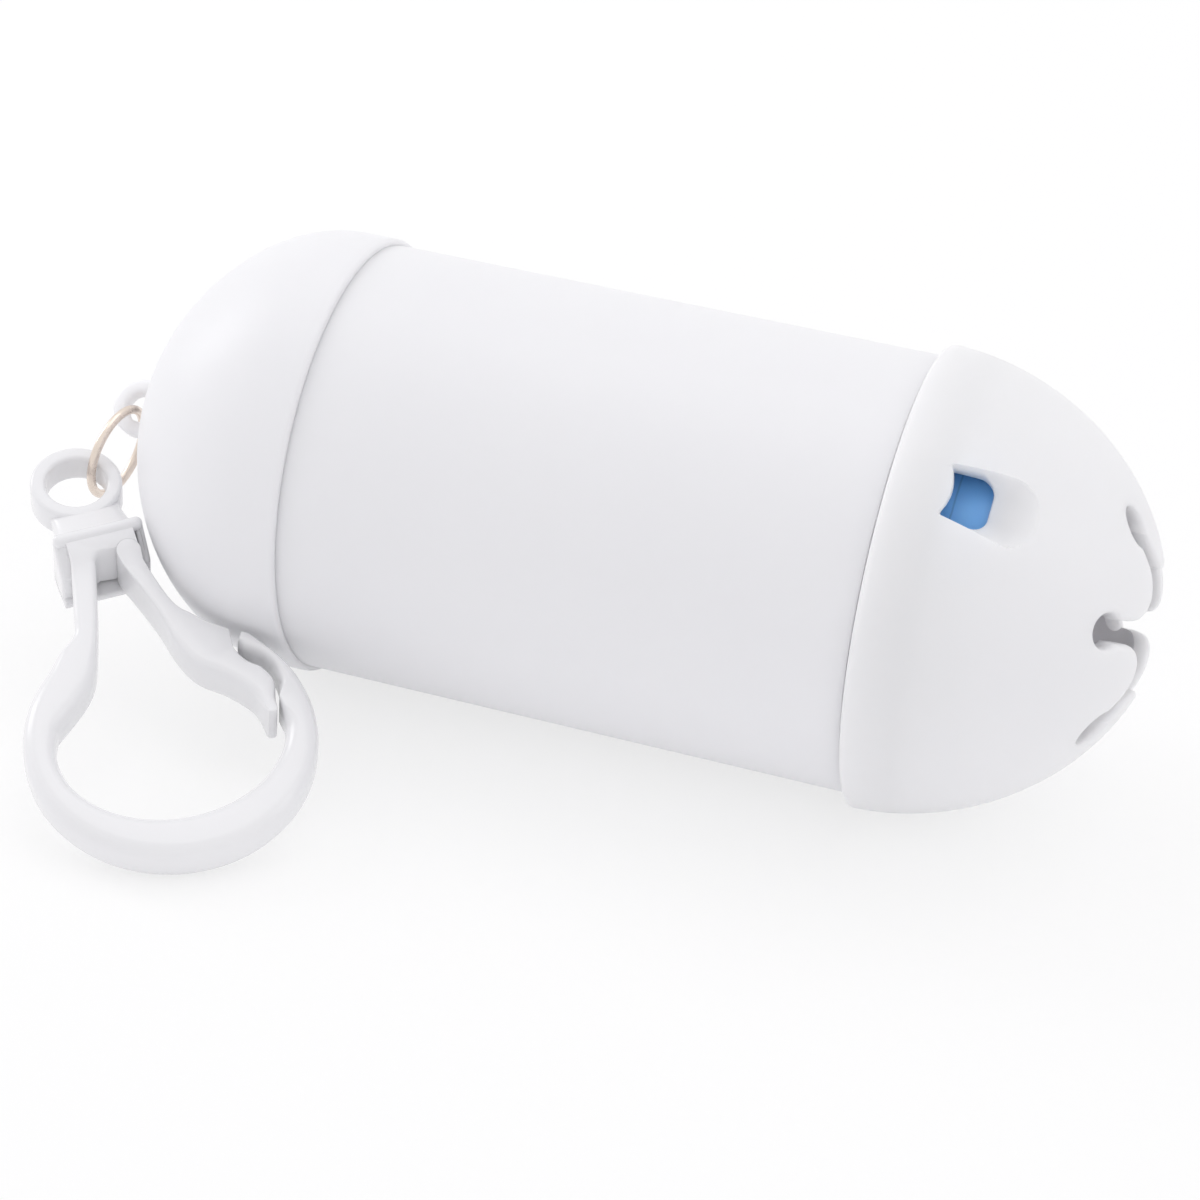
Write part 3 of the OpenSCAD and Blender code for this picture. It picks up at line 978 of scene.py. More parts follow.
@dataclass
class Star:
    """Outlet at the tip: a round opening with six tongues, and keyhole slots between them.

    The opening's radius is tongue_at less tongue.
    """

    tongue: float = 3.3
    tongue_at: float = 8.5
    slot_half: float = 0.95
    bulb: float = 1.5
    bulb_at: float = 9.8
    tongues: int = 6
    turn: float = 153.5
    lip: float = 0.6

    def outline(self, grow: float = 0.0) -> Array:
        """Closed outline in (y, z), moved out into the tongues by grow.

        Each sixth goes up one side of a slot, round its bulb, down the other side, and
        round the end of the next tongue.

        Args:
            grow: Distance in millimetres.

        Returns:
            Array of (y, z) points from the cap's axis.
        """
        half, bulb, tongue = self.slot_half + grow, self.bulb + grow, self.tongue - grow
        open_at = np.degrees(np.arcsin(half / bulb))
        neck = self.bulb_at - bulb * np.cos(np.radians(open_at))
        way = np.pi / self.tongues
        meet = self.tongue_at * np.cos(way)
        middle = (meet, self.tongue_at * np.sin(way))
        sector = np.concatenate([
            level(meet, neck, -half, 9)[1:-1],
            arc((self.bulb_at, 0), bulb, open_at - 180, 180 - open_at, 25),
            level(meet, neck, half, 9)[-2:0:-1],
            arc(middle, tongue, 270, 150, 24)])
        turns = np.radians(self.turn + 360 / self.tongues * np.arange(self.tongues))
        spin = np.stack([np.stack([np.cos(turns), np.sin(turns)], 1),
                         np.stack([-np.sin(turns), np.cos(turns)], 1)], 1)
        return np.einsum("pk,skj->spj", sector, spin).reshape(-1, 2)


@dataclass
class OutletCap:
    """Pull-off dome with the star outlet at its tip and two windows in its side.

    Each skin is one disk of triangles with holes. A point of the disk lies at a distance from
    its middle equal to the way along the profile from the tip, at the angle about the axis.
    The rows are outlines, moved out by so many millimetres, that give the mesh its points
    round the star, the recess and the hole. The gaps keep other points away from them, and
    hole_gaps has that of the outer skin first.
    """

    rim_x: float = 24.95
    radius: float = 20.1
    length: float = 22.3
    power: float = 1.92
    wall: float = 1.5
    bore_len: float = 4.4
    edge: float = 0.4
    window_turns: tuple[float, float] = (126.0, 306.0)
    ring_gap: float = 0.62
    row_gap: float = 0.045
    hole_gaps: tuple[float, float] = (0.75, 0.3)
    recess_gap: float = 0.3
    floor_step: float = 0.3
    star_rows: tuple[float, ...] = (0.06, 0.14, 0.24, 0.38, 0.56, 0.8)
    recess_rows: tuple[float, ...] = (0.2, 0.0, -0.04, -0.1, -0.18, -0.3, -0.45, -0.62)
    hole_rows: tuple[float, ...] = (0.06, 0.13)
    window: Window = field(default_factory=Window)
    star: Star = field(default_factory=Star)

    def outer_profile(self) -> Array:
        """(x, r) from the outer tip down the dome and round the rim's edge to the bore.

        Returns:
            Array of (x, r) points.
        """
        bore, e = self.radius - self.wall, self.edge
        line = dome_line(self.radius, self.length, self.power, 400)
        line = line[line[:, 0] > 2 * e]
        return np.concatenate([line, [[1.5 * e, self.radius - 0.002]],
                               arc((e, self.radius - e), e, 90, 180, 7),
                               [[0, bore + 0.7], [0, bore + 0.1]],
                               arc((0.1, bore + 0.1), 0.1, 180, 270, 3)])

    def inner_profile(self) -> Array:
        """(x, r) from the inner tip down the hollow to the bore's mouth.

        Returns:
            Array of (x, r) points.
        """
        bore = self.radius - self.wall
        line = dome_line(bore, self.length - self.wall, self.power, 300)
        line = line[line[:, 0] > self.bore_len]
        return np.concatenate([line, [[self.bore_len, bore], [2, bore], [0.1, bore]]])

    def skin(self, profile: Array, outer: bool) -> tuple[Array, Array, list[Array]]:
        """Triangles of one skin with its holes.

        Args:
            profile: (x, r) from the tip to the bore's mouth.
            outer: True for the outside, which has the recesses and rounded lips.

        Returns:
            Points, triangles, and the rows of points round each hole, the star first.
        """
        way = np.concatenate([[0], np.cumsum(np.linalg.norm(np.diff(profile, axis=0), axis=1))])
        # The last points of a profile turn round the rim, where no hole lies.
        wide = len(profile) - (12 if outer else 3)

        def at_radius(flat: Array) -> Array:
            """Disk points of (y, z) points near the tip."""
            r = np.linalg.norm(flat, axis=1)
            return flat / r[:, None] * np.interp(r, profile[:wide, 1], way[:wide])[:, None]

        def at_side(flat: Array, turn: float) -> Array:
            """Disk points of (along, across) points in a window's frame.

            Args:
                flat: Array of (along, across) points.
                turn: Angle of the window about the axis in degrees.

            Returns:
                Array of points on the disk.
            """
            r = np.interp(-flat[:, 0], -profile[:wide, 0], profile[:wide, 1])
            s = np.interp(-flat[:, 0], -profile[:wide, 0], way[:wide])
            a = np.radians(turn) - np.arcsin(flat[:, 1] / r)
            return s[:, None] * unit(a)

        def in_sides(*loops: Array) -> list[Array]:
            """Disk points of the same (along, across) loops in each window, one by one."""
            return [at_side(loop, turn) for turn in self.window_turns for loop in loops]

        star, window = self.star, self.window
        hole = window.hole() if outer else window.hole_inside()
        holes = [at_radius(star.outline()), *in_sides(hole)]
        rows, fields, shut = [], [], []
        if outer:
            rows = [at_radius(star.outline(grow)) for grow in self.star_rows]
            rows += in_sides(*[window.recess(grow) for grow in self.recess_rows],
                             *[window.hole(grow) for grow in self.hole_rows])
            fields = in_sides(window.floor_points(self.floor_step))
            shut = in_sides(window.recess(self.recess_gap))
        rows = [row[clear_of(row, holes, self.row_gap)] for row in rows]
        stations = np.unique(np.concatenate([
            np.arange(self.ring_gap, way[wide - 1], self.ring_gap), way[wide - 1:-1]]))
        radii = np.interp(stations, way, profile[:, 1])
        grid = np.concatenate([at * unit(around(self.ring_count(radius)))
                               for at, radius in zip(stations, radii)])
        clear = clear_of(grid, holes, self.hole_gaps[0] if outer else self.hole_gaps[1])
        for loop in shut:
            clear &= ~is_inside(grid, loop)
        rim = way[-1] * unit(around(TURN_STEPS))
        extra = [grid[clear], *rows, *fields]
        disk, faces = filled([rim] + holes, np.concatenate(extra))
        s, a = np.linalg.norm(disk, axis=1), np.arctan2(disk[:, 1], disk[:, 0])
        x = np.interp(s, way, profile[:, 0])
        r = np.interp(s, way, profile[:, 1])
        points = np.stack([x, r * np.cos(a), r * np.sin(a)], 1)
        if outer:
            points = self.carved(points)
        counts = np.cumsum([0] + [len(loop) for loop in [rim] + holes])
        edges = [points[counts[k]:counts[k + 1]] for k in range(1, len(counts) - 1)]
        return points, faces, edges

    def ring_count(self, radius: float) -> int:
        """Points round a ring of that radius, a little over half a millimetre apart."""
        return TURN_STEPS if radius > 0.85 * self.radius else max(12, int(radius * 12))

    def carved(self, points: Array) -> Array:
        """Outer skin with the windows' recesses let in and the lips of all holes rounded.

        A lip of radius q lowers a point at a distance d from the hole, where d is less than q,
        by q - sqrt(q^2 - (q - d)^2).

        Args:
            points: Array of (x, y, z) from the middle of the cap's rim.

        Returns:
            Array of the lowered points.
        """
        points = points.copy()
        for turn in self.window_turns:
            t = np.radians(turn)
            up = np.array([0, np.cos(t), np.sin(t)])
            side = np.array([0, np.sin(t), -np.cos(t)])
            height, across = points @ up, points @ side
            # Only points in a coarse box round the recess are worked out.
            near = (height > 0) & (np.abs(across) < 4) & (points[:, 0] > 3) & (points[:, 0] < 13)
            along, across, height = points[near, 0], across[near], height[near]
            drop = self.window.depth(along, across, height)
            away = distance_to(np.stack([along, across], 1), self.window.hole())
            drop += self.rounded(away, self.window.lip)
            points[near] -= drop[:, None] * up
        near = (points[:, 0] > 0.6 * self.length)
        away = distance_to(points[near, 1:], self.star.outline())
        points[near, 0] -= self.rounded(away, self.star.lip)
        return points

    @staticmethod
    def rounded(away: Array, lip: float) -> Array:
        """Drop of a rounded lip at a distance from the hole's edge."""
        left = np.clip(lip - away, 0, lip)
        return lip - np.sqrt(lip ** 2 - left ** 2)

    def build(self, finish: bpy.types.Material) -> None:
        """Makes the two skins and the walls of the holes between them.

        Args:
            finish: Material of the cap.
        """
        place = np.array([self.rim_x, 0, AXIS_H])
        outer, outer_faces, outer_edges = self.skin(self.outer_profile(), True)
        inner, inner_faces, inner_edges = self.skin(self.inner_profile(), False)
        shell = Shell().patch(outer + place, outer_faces).patch(inner + place, inner_faces)
        share = np.array([0, 0.12, 0.5, 0.88, 1])[:, None, None]
        for top, low in zip(outer_edges, inner_edges):
            shell.grid(place + (1 - share) * top[None] + share * low[None])
        shell.build("outlet_cap", "cap", "dispensing_cap", Slot.CAP, finish)


# ---------------------------------------------------------------- refill


@dataclass
class Refill:
    """Roll of bags: film wound on a board core, with the edges of the film at both ends."""

    start: float = -28.55
    length: float = 61.95
    radius: float = 16.2
    core: float = 6.5
    core_bore: float = 5.5
    core_over: float = 0.4
    film_step: float = 0.09
    ridge: float = 0.14
    ridge_pitch: float = 1.1
    film_edge: float = 0.3
    core_edge: float = 0.15
    wave: float = 0.05
    wave_turn: float = 0.55

    def film_grid(self) -> Array:
        """Grid of the wound film.

        The radius falls by one film step in each turn, which leaves the last bag's edge as a
        small step. The end faces carry a spiral ridge: the depth is
        ridge (1 + sin(2 pi (r / pitch - turn))) / 2. A slow wave makes the side uneven: it
        lowers it by wave (1 + sin(wave_turn x + 4 pi turn)) / 2.

        Returns:
            Array of (profile points, steps, 3).
        """
        left, right, e = self.start, self.start + self.length, self.film_edge
        radii = np.arange(self.core + 0.2, self.radius - e, 0.22)
        profile = np.concatenate([
            [[left + e, self.core]], np.stack([np.full(len(radii), left), radii], 1),
            arc((left + e, self.radius - e), e, 180, 90, 5),
            level(left + 2 * e, right - 2 * e, self.radius, 46),
            arc((right - e, self.radius - e), e, 90, 0, 5),
            np.stack([np.full(len(radii), right), radii[::-1]], 1), [[right - e, self.core]]])
        turn = np.linspace(0, 1, TURN_STEPS, endpoint=False)[None]
        x, r = profile[:, :1] + 0 * turn, profile[:, 1:] + 0 * turn
        face = (np.abs(x - (left + right) / 2) > self.length / 2 - 0.01)
        depth = self.ridge * (1 + np.sin(2 * np.pi * (r / self.ridge_pitch - turn))) / 2
        x = x - face * depth * np.sign(x)
        r = r - self.film_step * turn * (r > self.radius - e)
        uneven = (1 + np.sin(x * self.wave_turn + 4 * np.pi * turn)) / 2
        r = r - self.wave * (r > self.radius - e) * uneven
        a = 2 * np.pi * turn
        return np.stack([x, r * np.cos(a), AXIS_H + r * np.sin(a)], 2)

    def core_profile(self) -> Array:
        """Closed outline of the board tube as (x, r).

        Returns:
            Array of (x, r) points.
        """
        left, right = self.start - self.core_over, self.start + self.length + self.core_over
        e, outer = self.core_edge, self.core - 0.02
        return np.concatenate([
            arc((left + e, outer - e), e, 180, 90, 4), [[left + 1, outer], [right - 1, outer]],
            arc((right - e, outer - e), e, 90, 0, 4),
            arc((right - e, self.core_bore + e), e, 0, -90, 4),
            [[right - 1, self.core_bore], [left + 1, self.core_bore]],
            arc((left + e, self.core_bore + e), e, -90, -180, 4)])

    def build(self, film: bpy.types.Material, board: bpy.types.Material) -> None:
        """Makes the film and its core.

        Args:
            film: Material of the wound bags.
            board: Material of the core.
        """
        Shell().grid(self.film_grid(), close_rows=True).build(
            "film_roll", "roll", "bag_roll", Slot.FILM, film)
        Shell().grid(revolved(self.core_profile(), 96), close_rows=True).build(
            "board_core", "roll", "roll_core", Slot.CORE, board)


# ---------------------------------------------------------------- ring and hook


@dataclass
class WireRing:
    """Jump ring of bent wire, with its two cut ends side by side."""

    centre: tuple[float, float, float] = (-46.666, -3.550, 17.322)
    radius: float = 4.1
    wire: float = 0.4
    turn: float = -8.2
    tilt: float = -8.2
    gap: float = 4.0
    gap_at: float = 200.0
    spring: float = 0.05

    def grid(self) -> Array:
        """Grid of the wire: a small circle carried along a nearly closed one, its ends rounded.

        The ends stand apart across the ring by twice the spring, eased over a sixth of a turn.

        Returns:
            Array of (points along the wire, points round it, 3).
        """
        turn, tilt = np.radians(self.turn), np.radians(self.tilt)
        normal = np.array([np.cos(tilt) * np.cos(turn), np.cos(tilt) * np.sin(turn), np.sin(tilt)])
        sideways = np.array([np.sin(turn), -np.cos(turn), 0])
        down = np.cross(normal, sideways)
        cap = np.linspace(0, np.pi / 2, 5)
        sweep = np.radians(np.linspace(self.gap / 2, 360 - self.gap / 2, 160))
        sweep += np.radians(self.gap_at)
        thick = np.ones(len(sweep))
        tip = np.sin(cap)[:-1]
        back = self.wire * (1 - np.cos(cap))[::-1][:-1] / self.radius
        along = np.concatenate([sweep[0] - back * 0.4, sweep, sweep[-1] + back[::-1] * 0.4])
        thick = np.concatenate([tip, thick, tip[::-1]]) * self.wire
        share = np.linspace(-1, 1, len(along))
        lift = self.spring * np.sign(share) * soft_step(np.abs(share), 0.7, 1.0)
        out = np.cos(along)[:, None] * sideways + np.sin(along)[:, None] * down
        turned = around(20)[None, :, None]
        middle = np.array(self.centre) + self.radius * out + lift[:, None] * normal
        section = np.cos(turned) * out[:, None] + np.sin(turned) * normal
        return middle[:, None] + thick[:, None, None] * section

    def build(self, finish: bpy.types.Material) -> None:
        """Makes the ring, its ends closed by their own middles.

        Args:
            finish: Material of the ring.
        """
        grid = self.grid()
        ends = [np.broadcast_to(grid[k].mean(0), grid[:1].shape) for k in (0, -1)]
        Shell().grid(np.concatenate([ends[0], grid, ends[1]])).build(
            "wire_ring", "ring", "jump_ring", Slot.WIRE, finish)


@dataclass
class HookPlace:
    """The hook's own frame, found from the places and axes of the joints that carry it.

    The first axis runs from the eye to the loop, the second across it and the third is the
    axis that the hook swings about. The gate's root lies at root in that frame.
    """

    root: tuple[float, float] = (9.5, 2.05)

    def __post_init__(self) -> None:
        """Reads the two joints and works out the three axes."""
        joints = {joint["name"]: joint for joint in frame["joints"]}
        self.eye = np.array(joints["hook_swing"]["pos_m"]) / MM
        normal = np.array(joints["hook_swing"]["axis"])
        to_root = np.array(joints["gate_press"]["pos_m"]) / MM - self.eye
        across = np.cross(normal, to_root)
        along = self.root[0] * to_root - self.root[1] * across
        along /= np.linalg.norm(along)
        self.axes = np.array([along, np.cross(normal, along), normal])

    def __call__(self, points: Array) -> Array:
        """Points of the hook's frame, moved to the row frame."""
        return self.eye + points @ self.axes


@dataclass
class Hook:
    """Snap hook moulded in one plastic: eye with its hood, the frame bar, and the gate arm."""

    half: float = 2.0
    loop_at: float = 28.8
    outer: tuple[float, float] = (12.3, 12.3)
    inner: tuple[float, float] = (8.2, 9.65)
    arm: float = 2.0
    spread: float = 4.9
    top: float = 7.2
    low: float = 8.9
    bridge: float = 3.0
    throat: float = 16.5
    root_radius: float = 0.95
    gap: float = 0.15
    gate_width: float = 3.2
    eye_radius: float = 4.05
    eye_hole: float = 2.7
    eye_half: float = 1.5
    eye_edge: float = 0.4
    hood_front: float = 3.1
    hood_back: float = 2.95
    cheek: float = 0.7
    cheek_in: float = 3.3
    cheek_len: float = 2.4
    cheek_low: float = 0.45
    cheek_fall: float = 2.3
    cheek_into_arm: float = 0.7
    cheek_edge: float = 0.34
    web_len: float = 3.1
    web_bow: float = 0.9
    web_edge: float = 0.25
    neck_at: float = 2.75
    neck_half: float = 3.1
    neck_depth: float = 1.15
    neck_flare: float = 1.7
    neck_power: float = 3.4
    neck_below_front: float = 0.3
    bead_back: float = 0.85
    bead_over: float = 0.3
    bead_depth: float = 1.3
    bead_edge: float = 0.56
    arch: float = 0.9
    swell: float = 0.8
    swell_len: float = 3.6
    arm_round: tuple[float, float] = (0.5, 0.55)
    loop_round: tuple[float, float] = (0.65, 0.85)
    place: HookPlace = field(default_factory=HookPlace)

    def shares(self, down: float, *points: tuple[float, float]) -> list[list[float]]:
        """Points at shares of the loop's inner half lengths, moved down across the hook."""
        return [[self.loop_at + along * self.inner[0], across * self.inner[1] - down]
                for along, across in points]

    def ellipse(self, radii: tuple[float, float], start: float, end: float, steps: int) -> Array:
        """Points of the loop's outer or inner curve."""
        return arc((self.loop_at, 0), radii, start, end, steps)

    def bar_outline(self) -> Array:
        """Outline of the bridge, the fixed arm, the loop and its nose, in one closed curve.

        Returns:
            Array of points in the hook's plane.
        """
        root = self.place.root
        low, spread, throat = self.low, self.spread, self.throat
        start = self.ellipse(self.outer, -140, -140, 1)[0]
        back = self.ellipse(self.inner, -115, -115, 1)[0]
        tip = self.ellipse(self.outer, 132, 132, 1)[0] - [0.1, 0.5]
        bore = self.root_radius + self.gap
        reach = np.degrees(np.arccos((root[0] - low) / bore))
        arch = self.arch
        return np.concatenate([
            [[self.top, self.bridge], [self.top, -self.bridge]],
            flowing([[low, -self.bridge], [throat - 2, 0.6 - spread], [throat, -spread],
                     [throat + 1.3, -spread - 1.6], start])[:-1],
            self.ellipse(self.outer, -139, 131, 136), [tip],
            flowing(self.shares(0.0, (-0.93, 0.85), (-0.84, 0.876), (-0.72, 0.984),
                                (-0.55, 1.062), (-0.29, 1.062), (-0.09, 1.005))),
            self.ellipse(self.inner, 88, -113, 96),
            flowing([back, [throat + 5, 0.2 - spread], [throat, self.arm + 0.1 - spread],
                     [low + arch, self.arm - self.bridge]]),
            arc((low + arch, self.arm - self.bridge + arch), arch, -95, -180, 8),
            arc(root, bore, 180 + reach, 180 - reach, 12),
            [[low, self.bridge]]])

    def gate_outline(self) -> Array:
        """Outline of the gate arm from its root to the stepped end that meets the nose.

        The inner side is given by how far it lies below the outer, in shares of the width.

        Returns:
            Array of points in the hook's plane.
        """
        gap, wide, root = self.gap, self.gate_width, self.place.root
        r = self.root_radius + self.gap - 0.02

        inner = [self.shares(gap + deep * wide, (along, across))[0] for along, across, deep in (
            (-0.25, 1.02, 0.6), (-0.53, 0.99, 1), (-0.79, 0.771, 1), (-1.12, 0.669, 1),
            (-1.56, 0.467, 0.55))]
        return np.concatenate([
            flowing([[root[0] + 1, self.bridge],
                     *self.shares(gap, (-1.62, 0.44), (-1.38, 0.586), (-1.07, 0.819))]),
            flowing(self.shares(gap, (-0.85, 0.808), (-0.66, 0.886), (-0.53, 0.99), (-0.34, 1.041),
                                (-0.12, 0.995), (0.05, 0.965), (0.08, 0.93), (0.065, 0.885))),
            flowing([*self.shares(gap, (0.015, 0.87)), *inner,
                     [root[0] + 1, root[1] - self.root_radius + 0.1]]),
            arc(root, r, 262, 96, 20)])

    def softness(self, loop: Array, crisp: list[list[float]]) -> tuple[Array, Array]:
        """How far the rounded edge reaches in and down at each point of an outline.

        On the arms they are arm_round, and loop_round is added on the way to the loop. They
        shrink near the crisp corners, and round the gate's root there is hardly any rounding,
        so that gate and bridge lie flush.

        Args:
            loop: Outline of a plate.
            crisp: Corners that stay nearly sharp.

        Returns:
            Reach inwards and reach down at each point.
        """
        loop_share = soft_step(loop[:, 0], self.throat - 1, self.throat + 4)
        away = np.min([np.linalg.norm(loop - corner, axis=1) for corner in crisp], 0)
        near = 0.15 + 0.85 * soft_step(away, 0.1, 1.6)
        bore = self.root_radius + self.gap
        off_root = np.linalg.norm(loop - self.place.root, axis=1)
        near *= 0.06 + 0.94 * soft_step(off_root, bore + 0.05, bore + 1.3)
        reach, fall = ((arm + more * loop_share) * near
                       for arm, more in zip(self.arm_round, self.loop_round))
        return reach, fall

    def swollen(self, points: Array) -> Array:
        """Points of a plate, placed, with its front face raised where it runs into the hood.

        The rise is whole up to 0.2 mm past the line of the hood's top, and eases to none
        at swell_len past it.

        Args:
            points: Array of points in the hook's own frame.

        Returns:
            Array of points in the row frame.
        """
        ease = soft_step(points[..., 0], self.top + 0.2, self.top + self.swell_len)
        rise = self.swell * (1 - ease)
        share = np.clip(points[..., 2] / self.half, 0, 1)
        return self.place(points + (rise * share)[..., None] * [0, 0, 1])

    def eye_shell(self) -> Shell:
        """Eye ring, the neck that widens to the hood, and the hood's cheeks, web and bead.

        Returns:
            Shell with these parts in the row frame.
        """
        shell = Shell()
        e, low, high = self.eye_edge, self.eye_hole, self.eye_radius
        section = np.concatenate([
            arc((low + e, self.eye_half - e), e, 180, 90, 6),
            arc((high - e, self.eye_half - e), e, 90, 0, 6),
            arc((high - e, e - self.eye_half), e, 0, -90, 6),
            arc((low + e, e - self.eye_half), e, -90, -180, 6)])
        a = around(96)[None]
        r, z = section[:, :1], section[:, 1:]
        ring = np.stack([r * np.cos(a), r * np.sin(a), z + 0 * a], 2)
        shell.grid(self.place(ring), close_rows=True)
        shell.grid(self.place(self.neck()))
        for side in (-1, 1):
            shell.grid(self.place(self.cheek_grid(side)))
        shell.grid(self.place(self.web()))
        out = self.cheek_in + self.cheek
        low = [self.top - self.bead_back, -out, self.hood_front - self.bead_depth]
        high = [self.top + self.bead_over, out, self.hood_front]
        shell.grid(self.place(block(low, high, self.bead_edge, 8)))
        return shell

    def cheek_grid(self, side: int) -> Array:
        """Side wall of the hood: a rounded block that gets lower along the arm beside it.

        On the fixed arm's side it runs into the arm; on the gate's side it stands clear.

        Args:
            side: 1 for the gate's side and -1 for the fixed arm's.

        Returns:
            Grid of points in the hook's own frame.
        """
        inner = self.cheek_in if side > 0 else self.bridge - self.cheek_into_arm
        edges = sorted([side * inner, side * (self.cheek_in + self.cheek)])
        front = self.hood_front - self.cheek_low
        grid = block([self.top - self.cheek, edges[0], -self.hood_back],
                     [self.top + self.cheek_len, edges[1], front], self.cheek_edge, 7)
        share = soft_step(grid[..., 0], self.top, self.top + self.cheek_len)
        raised = np.clip((grid[..., 2] + self.hood_back) / (front + self.hood_back), 0, 1)
        grid[..., 2] -= self.cheek_fall * share * raised
        return grid

    def web(self) -> Array:
        """Back web of the hood: a rounded block whose free edge is drawn in at its middle.

        Returns:
            Grid of points in the hook's own frame.
        """
        out = self.cheek_in + self.cheek
        grid = block([self.top - self.cheek, -out, -self.hood_back],
                     [self.top + self.web_len, out, -self.hood_back + self.cheek],
                     self.web_edge, 6)
        free = soft_step(grid[..., 0], self.top, self.top + self.web_len)
        grid[..., 0] -= self.web_bow * free * (1 - np.clip(grid[..., 1] / out, -1, 1) ** 2)
        return grid

    def neck(self) -> Array:
        """Neck between eye and hood: a rounded section that widens both ways along the hook.

        At a share t of the way, the half width goes to the cheeks' outer faces as t^flare, and
        the front and back faces go evenly from the eye's to the hood's. The section is a
        power oval, |y / a|^power + |z / b|^power = 1.

        Returns:
            Grid of points in the hook's own frame.
        """
        power, depth = self.neck_power, self.neck_depth
        t = np.concatenate([[0, 0], np.linspace(0, 1, 14), [1, 1]])[:, None]
        size = np.concatenate([[0, 0.9], np.ones(14), [0.9, 0]])[:, None]
        x = self.neck_at + (self.top - 0.02 - self.neck_at) * t
        half = self.neck_half + (self.cheek_in + self.cheek - self.neck_half) * t ** self.neck_flare
        front = depth + (self.hood_front - self.neck_below_front - depth) * t
        back = depth + (self.hood_back - depth) * t
        a = around(64)[None]
        reach = (np.abs(np.cos(a)) ** power + np.abs(np.sin(a)) ** power) ** (-1 / power)
        thick = np.where(np.sin(a) > 0, front, back)
        return np.stack([x + 0 * a, size * half * reach * np.cos(a),
                         size * thick * reach * np.sin(a)], 2)

    def build(self, finish: bpy.types.Material) -> None:
        """Makes the eye with its hood, the frame bar and the gate arm.

        Args:
            finish: Material of the hook.
        """
        self.eye_shell().build("hook_eye_hood", "hook", "hook_eye", Slot.HOOK, finish)
        bar = self.bar_outline()
        root = self.place.root
        crisp = [[self.low, self.bridge], [self.top, -self.bridge], [self.top, self.bridge],
                 [root[0] - 1, root[1]], *self.shares(0.0, (-0.09, 1.005))]
        shell = Shell()
        plate(shell, [bar], self.half, *self.softness(bar, crisp), place=self.swollen)
        shell.build("hook_bar", "hook", "hook_frame", Slot.HOOK, finish)
        gate = self.gate_outline()
        crisp = [*self.shares(self.gap, (-1.07, 0.819), (0.065, 0.92)), [root[0] - 1, root[1]]]
        shell = Shell()
        reach, fall = self.softness(gate, crisp)
        plate(shell, [gate], self.half, 0.6 * reach, 0.6 * fall, place=self.swollen)
        shell.build("gate_arm", "gate", "hook_gate", Slot.HOOK, finish)


# ---------------------------------------------------------------- studio


@dataclass
class Lamp:
    """Soft rectangular lamp, aimed at a point, with its power in watts."""

    name: str
    place: tuple[float, float, float]
    aim: tuple[float, float, float]
    size: tuple[float, float]
    power: float

    def build(self) -> None:
        """Makes the lamp and turns its face to the aim."""
        data = bpy.data.lights.new(self.name, "AREA")
        data.shape = "RECTANGLE"
        data.size, data.size_y = self.size
        data.energy = self.power
        lamp = placed(self.name, data)
        lamp.location = self.place
        way = Vector(self.aim) - Vector(self.place)
        lamp.rotation_euler = way.to_track_quat("-Z", "Y").to_euler()


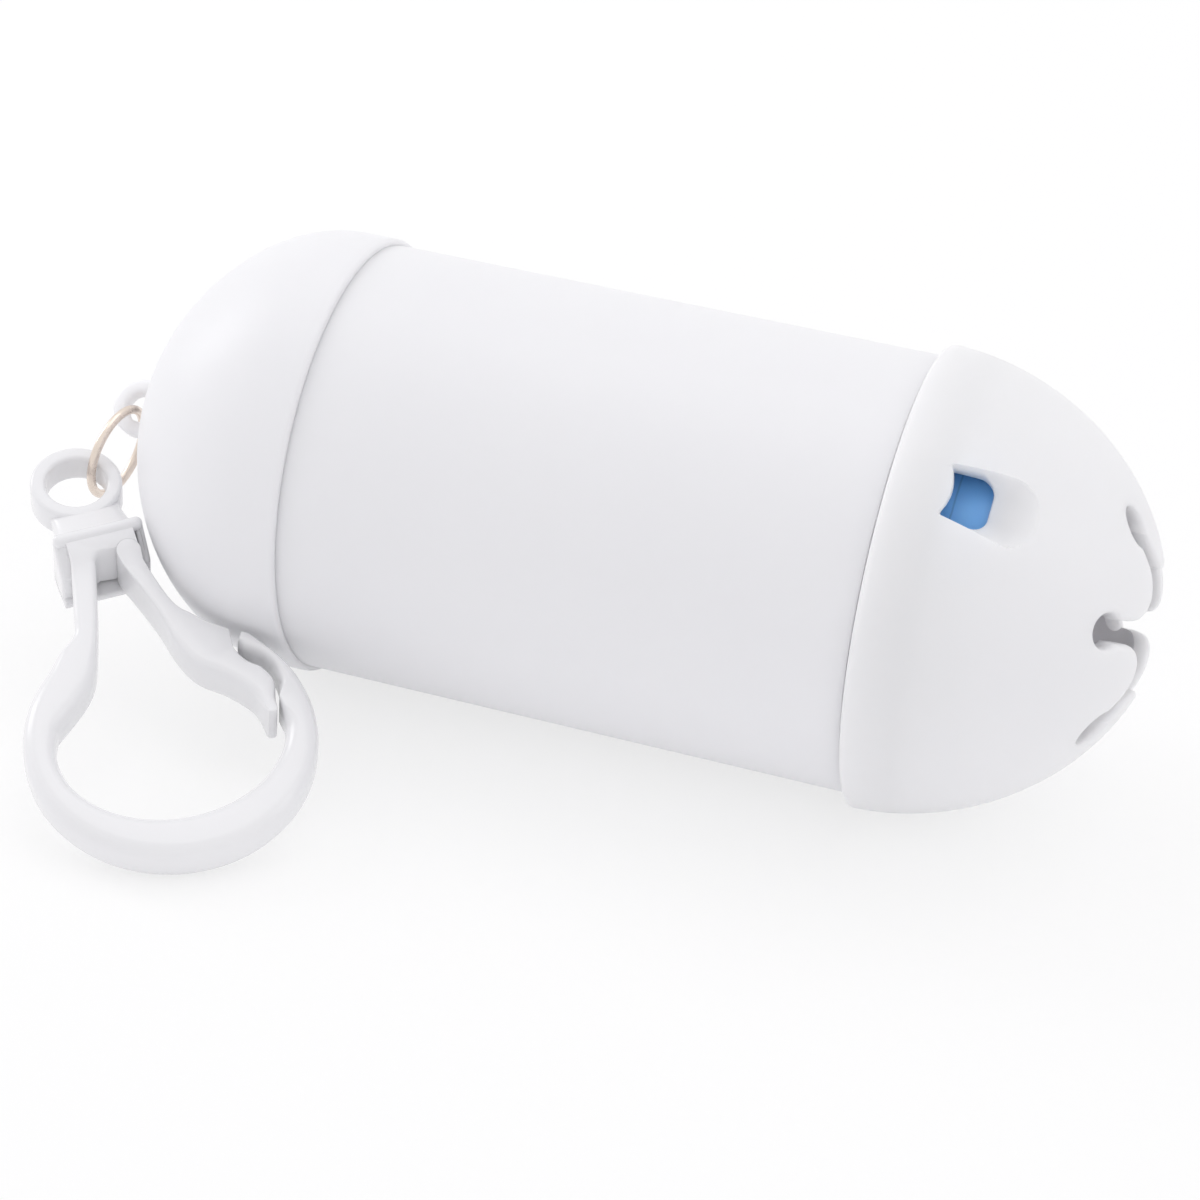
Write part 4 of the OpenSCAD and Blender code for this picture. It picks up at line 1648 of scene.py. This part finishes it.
@dataclass
class Studio:
    """Camera, even white light all round, a softbox above, and a white table."""

    camera_place: tuple[float, float, float] = (0.0696656, -0.2420779, 0.1665672)
    azimuth: float = 16.43
    elevation: float = 31.65
    roll: float = 3.98
    lens: float = 100.67
    sky: float = 0.86
    lift: float = 0.68
    bounce: float = 0.09
    table: float = 3.0
    lamps: tuple[Lamp, ...] = (
        Lamp("softbox_above", (0.0, 0.12, 0.60), (0.0, 0.0, 0.02), (0.6, 0.5), 0.62),
        Lamp("strip_left", (-0.50, 0.10, 0.26), (-0.03, 0.0, 0.02), (0.14, 0.36), 0.45),
        Lamp("strip_right", (0.50, 0.05, 0.26), (0.03, 0.0, 0.02), (0.14, 0.36), 0.12),
    )

    @staticmethod
    def seen_directly(tree: Tree) -> Socket:
        """1 for a ray of the camera, a gloss or glass, and 0 for one that only carries light.

        Args:
            tree: Node tree that takes the nodes.

        Returns:
            Socket of the value.
        """
        path = add_node(tree, "ShaderNodeLightPath").outputs
        direct = calc(tree, "MAXIMUM", path["Is Camera Ray"], path["Is Glossy Ray"])
        return calc(tree, "MAXIMUM", direct, path["Is Transmission Ray"])

    def camera(self) -> None:
        """Places the camera by azimuth, elevation and roll."""
        data = bpy.data.cameras.new("main_camera")
        data.lens, data.sensor_width = self.lens, 36.0
        data.clip_start, data.clip_end = 0.01, 20.0
        camera = placed("main_camera", data)
        turn = (Matrix.Rotation(np.radians(self.azimuth), 4, "Z")
                @ Matrix.Rotation(np.radians(90 - self.elevation), 4, "X")
                @ Matrix.Rotation(np.radians(self.roll), 4, "Z"))
        camera.matrix_world = Matrix.Translation(self.camera_place) @ turn
        bpy.context.scene.camera = camera

    def world(self) -> None:
        """Even, slightly cool light, and plain white where the world is seen directly."""
        world = bpy.data.worlds.new("white_room")
        bpy.context.scene.world = world
        tree = cleared(world)
        seen = self.seen_directly(tree)
        light = add_node(tree, "ShaderNodeBackground",
                         {"Color": mix(tree, seen, "#FEFDFF", "#FFFFFF"),
                          "Strength": remap(tree, seen, (0.0, 1.0), (self.sky, 1.0))})
        add_node(tree, "ShaderNodeOutputWorld", {"Surface": light.outputs[0]})

    def floor(self) -> None:
        """White table that keeps the object's shadow and is plain white elsewhere.

        It is a white card for the light that it gives back. Seen directly it is a grey card
        with a glow, so that shadows stay soft and the open table comes out white.
        """
        t = self.table
        mesh = bpy.data.meshes.new("table_top")
        mesh.from_pydata([(-t, -t, 0), (t, -t, 0), (t, t, 0), (-t, t, 0)], [], [(0, 1, 2, 3)])
        material = bpy.data.materials.new("white_table")
        tree = cleared(material)
        place = add_node(tree, "ShaderNodeTexCoord").outputs["Object"]
        seen = self.seen_directly(tree)
        white = mix(tree, noise(tree, place, 25.0, 2.0), "#F9F9F9", "#F6F6F7")
        card = add_node(tree, "ShaderNodeBsdfPrincipled",
                        {"Base Color": mix(tree, seen, white, "#949494"), "Roughness": 0.9,
                         "Specular IOR Level": 0.1})
        glow = add_node(tree, "ShaderNodeEmission",
                        {"Color": linear("#FFFFFF"),
                         "Strength": remap(tree, seen, (0.0, 1.0), (self.bounce, self.lift))})
        shader = add_node(tree, "ShaderNodeAddShader", {0: card.outputs[0], 1: glow.outputs[0]})
        add_node(tree, "ShaderNodeOutputMaterial", {"Surface": shader.outputs[0]})
        mesh.materials.append(material)
        table = placed("table_top", mesh)

    def build(self) -> None:
        """Sets up the picture."""
        bpy.context.scene.view_settings.view_transform = "Standard"
        self.camera()
        self.world()
        self.floor()
        for lamp in self.lamps:
            lamp.build()


def main() -> None:
    """Builds the studio and each sub-assembly in order."""
    logging.basicConfig(level=logging.INFO, format="%(message)s")
    Studio().build()
    shell_white = MouldedPlastic("moulded_abs_shell", "#F2F2F4", "#EEEEF1", 0.42,
                                 glow=0.5).material()
    cap_white = MouldedPlastic("moulded_abs_cap", "#F3F3F4", "#F0F0F2", 0.4, glow=0.8).material()
    hook_white = MouldedPlastic("moulded_acetal_hook", "#ECECED", "#E9E9EB", 0.22,
                                grain_mm=1.6, grain_depth_mm=0.004, glow=0.0).material()
    film = WoundFilm("wound_polythene_film", "#7DBEFB", "#70B3F5", 0.38).material()
    board = WoundBoard("spiral_wound_board", "#B49A78", "#A28766", 0.85).material()
    wire = PlatedWire("nickel_plated_wire", "#EFE2D7", "#DBCEC2", 0.26).material()
    Barrel().build(shell_white)
    EndDome().build(shell_white)
    OutletCap().build(cap_white)
    Refill().build(film, board)
    WireRing().build(wire)
    Hook().build(hook_white)


if __name__ == "__main__":
    main()
